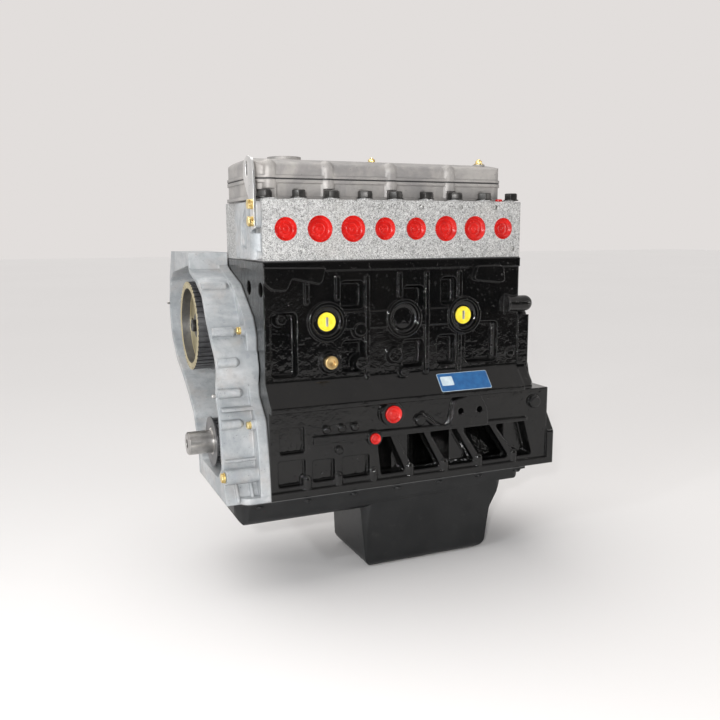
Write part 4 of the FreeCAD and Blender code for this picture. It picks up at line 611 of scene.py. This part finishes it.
second_finish(head, "cut_aluminium", in_stud_hole)
# Only the cam sprocket's front faces get the gold; its teeth and sides keep the dark steel, which is
# painted shade
wheel_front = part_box("cam_sprocket")[0].x
second_finish(cam_wheel, "sprocket_gold",
              lambda middle, normal: normal.x < -0.25 and middle.x < wheel_front + SPROCKET_WIDTH)


# Red plugs in the ports and red caps on the block and the head

def port_plug(radius):
    """A push-in plug: rim, sloping wall, floor with a moulded ring and a middle pip."""
    plug = turned("plug", radius - 0.0001, 0.0088,
                  [(0.0010, 0.0), (0.0006, -0.0010), (0.0026, -0.0040), (0.0006, -0.0004),
                   (radius * 0.26, 0.0003), (0.0004, 0.0006), (0.0007, 0.0), (0.0004, -0.0006),
                   (radius * 0.22, 0.0), (0.0005, 0.0006), (0.0010, 0.0002)], 56)
    soften(plug, 0.0002, 2, 25)
    return plug


plugs = [stand(port_plug(radius), (x, HEAD_FACE_Y + 0.0090, PORT_Z), "-y", 0.9 * i)
         for i, (x, radius) in enumerate(zip(PORT_X, PORT_RADII))]
plugs = merged("port_plugs_moulded", plugs)
smooth(plugs, 40)
placed(plugs, "red_plastic", "port_plugs")


def blanking_cap(radius, depth, seat):
    """A sleeve with a wide rim and a dished face."""
    sleeve = turned("sleeve", radius, depth, [(0.001, 0.0)], 48)
    rim = turned("rim", radius + 0.0016, 0.0026,
                 [(0.0004, 0.0010), (0.0007, 0.0003), (0.0007, -0.0003), (0.0018, -0.0028),
                  (0.0006, -0.0002), (radius * 0.35, 0.0002), (0.0005, 0.0004), (0.0008, 0.0)], 48)
    soften(rim, 0.0002, 2, 25)
    stand(rim, (0, 0, depth))
    return stand(merged("cap", [rim, sleeve]), seat, "-y")


caps = merged("blanking_caps_moulded", [blanking_cap(0.0120, 0.010, LARGE_CAP_SEAT),
                                        blanking_cap(0.0070, 0.008, SMALL_CAP_SEAT)])
smooth(caps, 40)
placed(caps, "red_plastic", "blanking_caps")

top_cap = turned("head_top_cap", 0.0058, 0.0026,
                 [(0.0012, 0.0012), (0.0016, 0.0004), (0.0008, -0.0004)], 36)
soften(top_cap, 0.0003)
stand(top_cap, TOP_CAP_SEAT)
smooth(top_cap)
placed(top_cap, "red_plastic")


# Pressed core plugs and the yellow heat tabs on them

core = turned("core", CORE_PLUG_RADIUS, 0.0120,
              [(0.0007, 0.0), (0.0012, 0.0), (0.0009, -0.0013), (0.0005, -0.0007), (0.0030, 0.0),
               (0.0010, -0.0005), (0.0014, 0.0), (0.0010, 0.0005)], 64)
soften(core, 0.0004, 2, 25)
core_seats = [(x, CORE_FLOOR_Y + 0.010, PLUG_BOSS_Z) for x in CORE_PLUG_X]
cores = repeated("core_plugs_pressed", core, core_seats, "-y")
smooth(cores, 40)
placed(cores, node_slots["core_plugs"], "core_plugs")

tab = turned("tab", 0.0140, 0.0020,
             [(0.0004, 0.0004), (0.0016, 0.0), (0.0005, -0.0006), (0.0050, 0.0), (0.0004, 0.0003),
              (0.0010, 0.0)], 56)
soften(tab, 0.0002, 2, 25)
tabs = repeated("heat_tabs_stamped", tab, [(x, CORE_FLOOR_Y, PLUG_BOSS_Z) for x in TAB_X], "-y")
smooth(tabs, 40)
placed(tabs, "yellow_tab", "heat_tabs")

bars = []
for x in TAB_X:
    bar = slab("bar", (-0.0020, -0.0070, 0.0015), (0.0020, 0.0070, 0.0031), 0.0017)
    soften(bar, 0.0004, 2, 60)
    bars.append(stand(bar, (x, CORE_FLOOR_Y, PLUG_BOSS_Z), "-y"))
bars = merged("heat_tab_bars", bars)
smooth(bars, 40)
placed(bars, "bearing_metal")


# Brass plug with a hexagon socket

brass_plug = turned("brass_plug", 0.0100, 0.0052,
                    [(0.0007, 0.0005), (0.0030, 0.0), (0.0002, -0.0002)], 56)
socket = turned("socket", 0.0050, 0.0060, [(0.0005, 0.0)], 6)
socket.location = (0, 0, 0.0022)
settle(socket)
applied(brass_plug, "BOOLEAN", operation="DIFFERENCE", object=socket, solver="EXACT")
bpy.data.objects.remove(socket)
soften(brass_plug, 0.0003, 2, 35)
shank = turned("shank", 0.0068, 0.020, [(0.0005, 0.0)], 40)
shank.location = (0, 0, -0.020)
settle(shank)
brass_plug = stand(merged("brass_socket_plug", [brass_plug, shank]), BRASS_PLUG_SEAT, "-y", 0.3)
smooth(brass_plug, 35)
placed(brass_plug, "brass", "block_drain_plug")


# Bolts, nuts and screws

head_bolt = hex_head(across=0.019, height=0.010, washer=0.012, washer_height=0.002, dish=0.0008)
head_bolts = repeated("head_bolts_forged", head_bolt, HEAD_BOLT_SEATS, "z")
smooth(head_bolts, 35)
placed(head_bolts, "black_steel", "head_bolts")

stud_tip = turned("tip", 0.0030, 0.0082, [(0.0006, 0.0004)], 32)
nut = merged("nut", [hex_head(across=0.010, height=0.005, washer=0.008), stud_tip])
cover_nuts = repeated("cover_nuts_plated", nut, COVER_NUT_SEATS, "z")
smooth(cover_nuts, 35)
placed(cover_nuts, "zinc_yellow", "cover_nuts")

bracket_bolt = stand(hex_head(across=0.013, height=0.0045, washer=0.0066, washer_height=0.0012),
                     (0, 0, BRACKET_WASHER_HEIGHT))
bracket_washer = spring_washer(0.0072, 0.0045, BRACKET_WASHER_HEIGHT)
bracket_bolt = merged("bracket_bolt", [bracket_bolt, bracket_washer])
bracket_bolts = repeated("bracket_bolts_plated", bracket_bolt, BRACKET_BOLT_SEATS, "-x")
smooth(bracket_bolts, 35)
placed(bracket_bolts, "zinc_yellow", "lifting_bracket_bolts")

case_screw = stand(hex_head(across=0.010, height=0.0038, washer=0.0058, washer_height=0.0010),
                   (0, 0, CASE_WASHER_HEIGHT))
case_washer = spring_washer(0.0054, 0.0036, CASE_WASHER_HEIGHT)
case_screw = merged("case_screw", [case_screw, case_washer])
case_screws = repeated("case_screws_short", case_screw, CASE_SCREW_SEATS, "-x")
long_screw = hex_head(across=0.013, height=0.0045, washer=0.0080, washer_height=0.0010)
long_screws = repeated("case_screw_long", long_screw, LONG_SCREW_SEATS, "-x")
case_screws = merged("case_screws_plated", [case_screws, long_screws])
smooth(case_screws, 35)
placed(case_screws, "zinc_yellow", "timing_case_screws")

pin = turned("pin", 0.0029, 0.0078, [(0.0008, 0.0010), (0.0009, 0.0), (0.0004, -0.0010)], 36)
dowels = repeated("cover_dowels_turned", pin, DOWEL_SEATS, "-x")
smooth(dowels, 35)
placed(dowels, "machined_steel", "cover_dowels")

sump_bolt = hex_head(across=0.010, height=0.0035, washer=0.0072, washer_height=0.0010)
sump_bolts = repeated("sump_bolts_flanged", sump_bolt, SUMP_BOLT_SEATS, "-z")
smooth(sump_bolts, 35)
placed(sump_bolts, "black_satin", "sump_bolts")

cam_bolt = hex_head(across=0.019, height=0.0075, washer=0.020, washer_height=0.0030, dish=0.0008)
cam_bolt = repeated("cam_bolt_forged", cam_bolt, CAM_BOLT_SEATS, "-x")
smooth(cam_bolt, 35)
placed(cam_bolt, "black_steel", "cam_sprocket_bolt", "cam")


# Plain data label on the sloping shoulder: a pale edge, a blue field and a blank pale badge

def laid_on_slope(piece):
    """Moves a piece drawn flat, with X along the engine and -Y down the slope, onto the shoulder."""
    down = Vector((0, -0.027, -0.032)).normalized()
    outward = Vector((0, -0.032, 0.027)).normalized()
    corner = Vector((-0.232, -0.103, 0.103)) + down * 0.0065 + outward * 0.00005
    turn = Matrix((Vector((1, 0, 0)), -down, outward)).transposed().to_4x4()
    piece.data.transform(Matrix.Translation(corner) @ turn)
    return piece


film = slab("film", (0, -0.033, 0), (0.092, 0, 0.00045), 0.0025)
badge = slab("badge", (0.0045, -0.0225, 0.0004), (0.0260, -0.0060, 0.0006), 0.0020)
edge = laid_on_slope(merged("label_edge", [film, badge]))
field = slab("label_field", (0.0006, -0.0324, 0.0003), (0.0914, -0.0006, 0.00052), 0.0021)
field = laid_on_slope(field)
placed(edge, "pale_print", "data_label")
placed(field, "blue_label")


# Camera, floor and light

eye = Vector((-0.83184, -1.18910, 0.31660))
ahead = Vector((0.38922, 0.90634, -0.16446)).normalized()
level = Vector((0.91886, -0.39460, 0.0)).normalized()
over = level.cross(ahead)
roll = math.radians(-0.337)
right = level * math.cos(roll) + over * math.sin(roll)
upward = over * math.cos(roll) - level * math.sin(roll)
camera_data = bpy.data.cameras.new("camera")
camera_data.sensor_width = 36.0
camera_data.lens = 39.23
camera_data.shift_x = 0.00305
camera_data.shift_y = 0.00901
camera = bpy.data.objects.new("camera", camera_data)
bpy.context.scene.collection.objects.link(camera)
camera.matrix_world = Matrix((
    (right.x, upward.x, -ahead.x, eye.x),
    (right.y, upward.y, -ahead.y, eye.y),
    (right.z, upward.z, -ahead.z, eye.z),
    (0, 0, 0, 1)))
bpy.context.scene.camera = camera
bpy.context.scene.view_settings.view_transform = "Standard"


def cloth_look():
    """The pale matt cloth that the engine stands on."""
    look = Look("floor_cloth")
    cloud = look.noise(0.8, 3, 0.5)
    base = look.colours(cloud, (0.755, 0.735, 0.725), (0.785, 0.765, 0.755))
    return look.finish(Base_Color=base, Roughness=0.85 + cloud * 0.1, Specular_IOR_Level=0.1)


bpy.ops.mesh.primitive_plane_add(size=40, location=(0, 0, cad_box[0][2]))
floor = bpy.context.active_object
floor.name = "floor"
settle(floor)
floor.data.materials.append(cloth_look())

# The world has one tone for the camera and for gloss, and a dimmer one that lights the scene

world = bpy.data.worlds.new("room")
bpy.context.scene.world = world
world.use_nodes = True
tree = world.node_tree
tree.nodes.clear()


def background(colour, strength):
    shader = tree.nodes.new("ShaderNodeBackground")
    shader.inputs["Color"].default_value = paint(colour)
    shader.inputs["Strength"].default_value = strength
    return shader


path = tree.nodes.new("ShaderNodeLightPath")
seen = background((0.76, 0.73, 0.715), 1.0)
fill = background((0.97, 0.98, 1.0), 0.34)
mix = tree.nodes.new("ShaderNodeMixShader")
end = tree.nodes.new("ShaderNodeOutputWorld")
shown = path.outputs["Is Camera Ray"]
for ray in ("Is Glossy Ray", "Is Transmission Ray"):
    either = tree.nodes.new("ShaderNodeMath")
    either.operation = "MAXIMUM"
    tree.links.new(shown, either.inputs[0])
    tree.links.new(path.outputs[ray], either.inputs[1])
    shown = either.outputs[0]
tree.links.new(shown, mix.inputs[0])
tree.links.new(fill.outputs[0], mix.inputs[1])
tree.links.new(seen.outputs[0], mix.inputs[2])
tree.links.new(mix.outputs[0], end.inputs["Surface"])


def aimed(data, name, place, aim):
    """A lamp at its place, turned to what it lights and unseen by the camera."""
    made = bpy.data.objects.new(name, data)
    bpy.context.scene.collection.objects.link(made)
    made.location = place
    made.rotation_euler = (Vector(aim) - Vector(place)).to_track_quat("-Z", "Y").to_euler()
    made.visible_camera = False
    return made


def card(name, place, aim, size, power, colour):
    """A rectangular lamp that shines from one side."""
    data = bpy.data.lights.new(name, "AREA")
    data.shape = "RECTANGLE"
    data.size, data.size_y = size
    data.energy = power
    data.color = colour
    return aimed(data, name, place, aim)


def sky(name, place, aim, strength, spread, colour):
    """A wide soft sun that lights the floor evenly."""
    data = bpy.data.lights.new(name, "SUN")
    data.energy = strength
    data.angle = math.radians(spread)
    data.color = colour
    return aimed(data, name, place, aim)


ENGINE_MIDDLE = (-0.29, 0.0, 0.12)
WHITE = (1.0, 1.0, 1.0)
STRIP = (0.035, 1.2)
sky("overhead", (-0.6, 0.9, 2.4), ENGINE_MIDDLE, 2.0, 70, (1.0, 0.985, 0.965))
card("flash", (-1.05, -1.40, 0.50), ENGINE_MIDDLE, (0.06, 0.06), 11, WHITE)
card("low_light", (-1.20, -1.70, 0.00), ENGINE_MIDDLE, (0.06, 0.06), 6, WHITE)
card("left_strip", (-1.75, -0.95, 0.45), ENGINE_MIDDLE, STRIP, 4.5, (0.92, 0.97, 1.0))
card("side_light", (-1.95, -0.70, 0.85), ENGINE_MIDDLE, (0.07, 0.07), 6, (0.95, 0.98, 1.0))
card("right_strip", (1.25, -1.25, 0.45), ENGINE_MIDDLE, STRIP, 5, (1.0, 0.98, 0.95))


def dark_flag(name, low, high):
    """An upright dark sheet in front of the engine, which only its gloss shows."""
    bpy.ops.mesh.primitive_plane_add(size=1, location=[(a + b) / 2 for a, b in zip(low, high)],
                                     rotation=(math.pi / 2, 0, 0))
    sheet = bpy.context.active_object
    sheet.name = name
    sheet.scale = (high[0] - low[0], high[2] - low[2], 1)
    settle(sheet)
    sheet.data.materials.append(finishes["rubber"])
    sheet.visible_camera = False
    sheet.visible_diffuse = False
    sheet.visible_shadow = False
    sheet.visible_transmission = False


dark_flag("room_in_front", (-0.6, -1.95, cad_box[0][2]), (3.4, -1.95, 1.1))
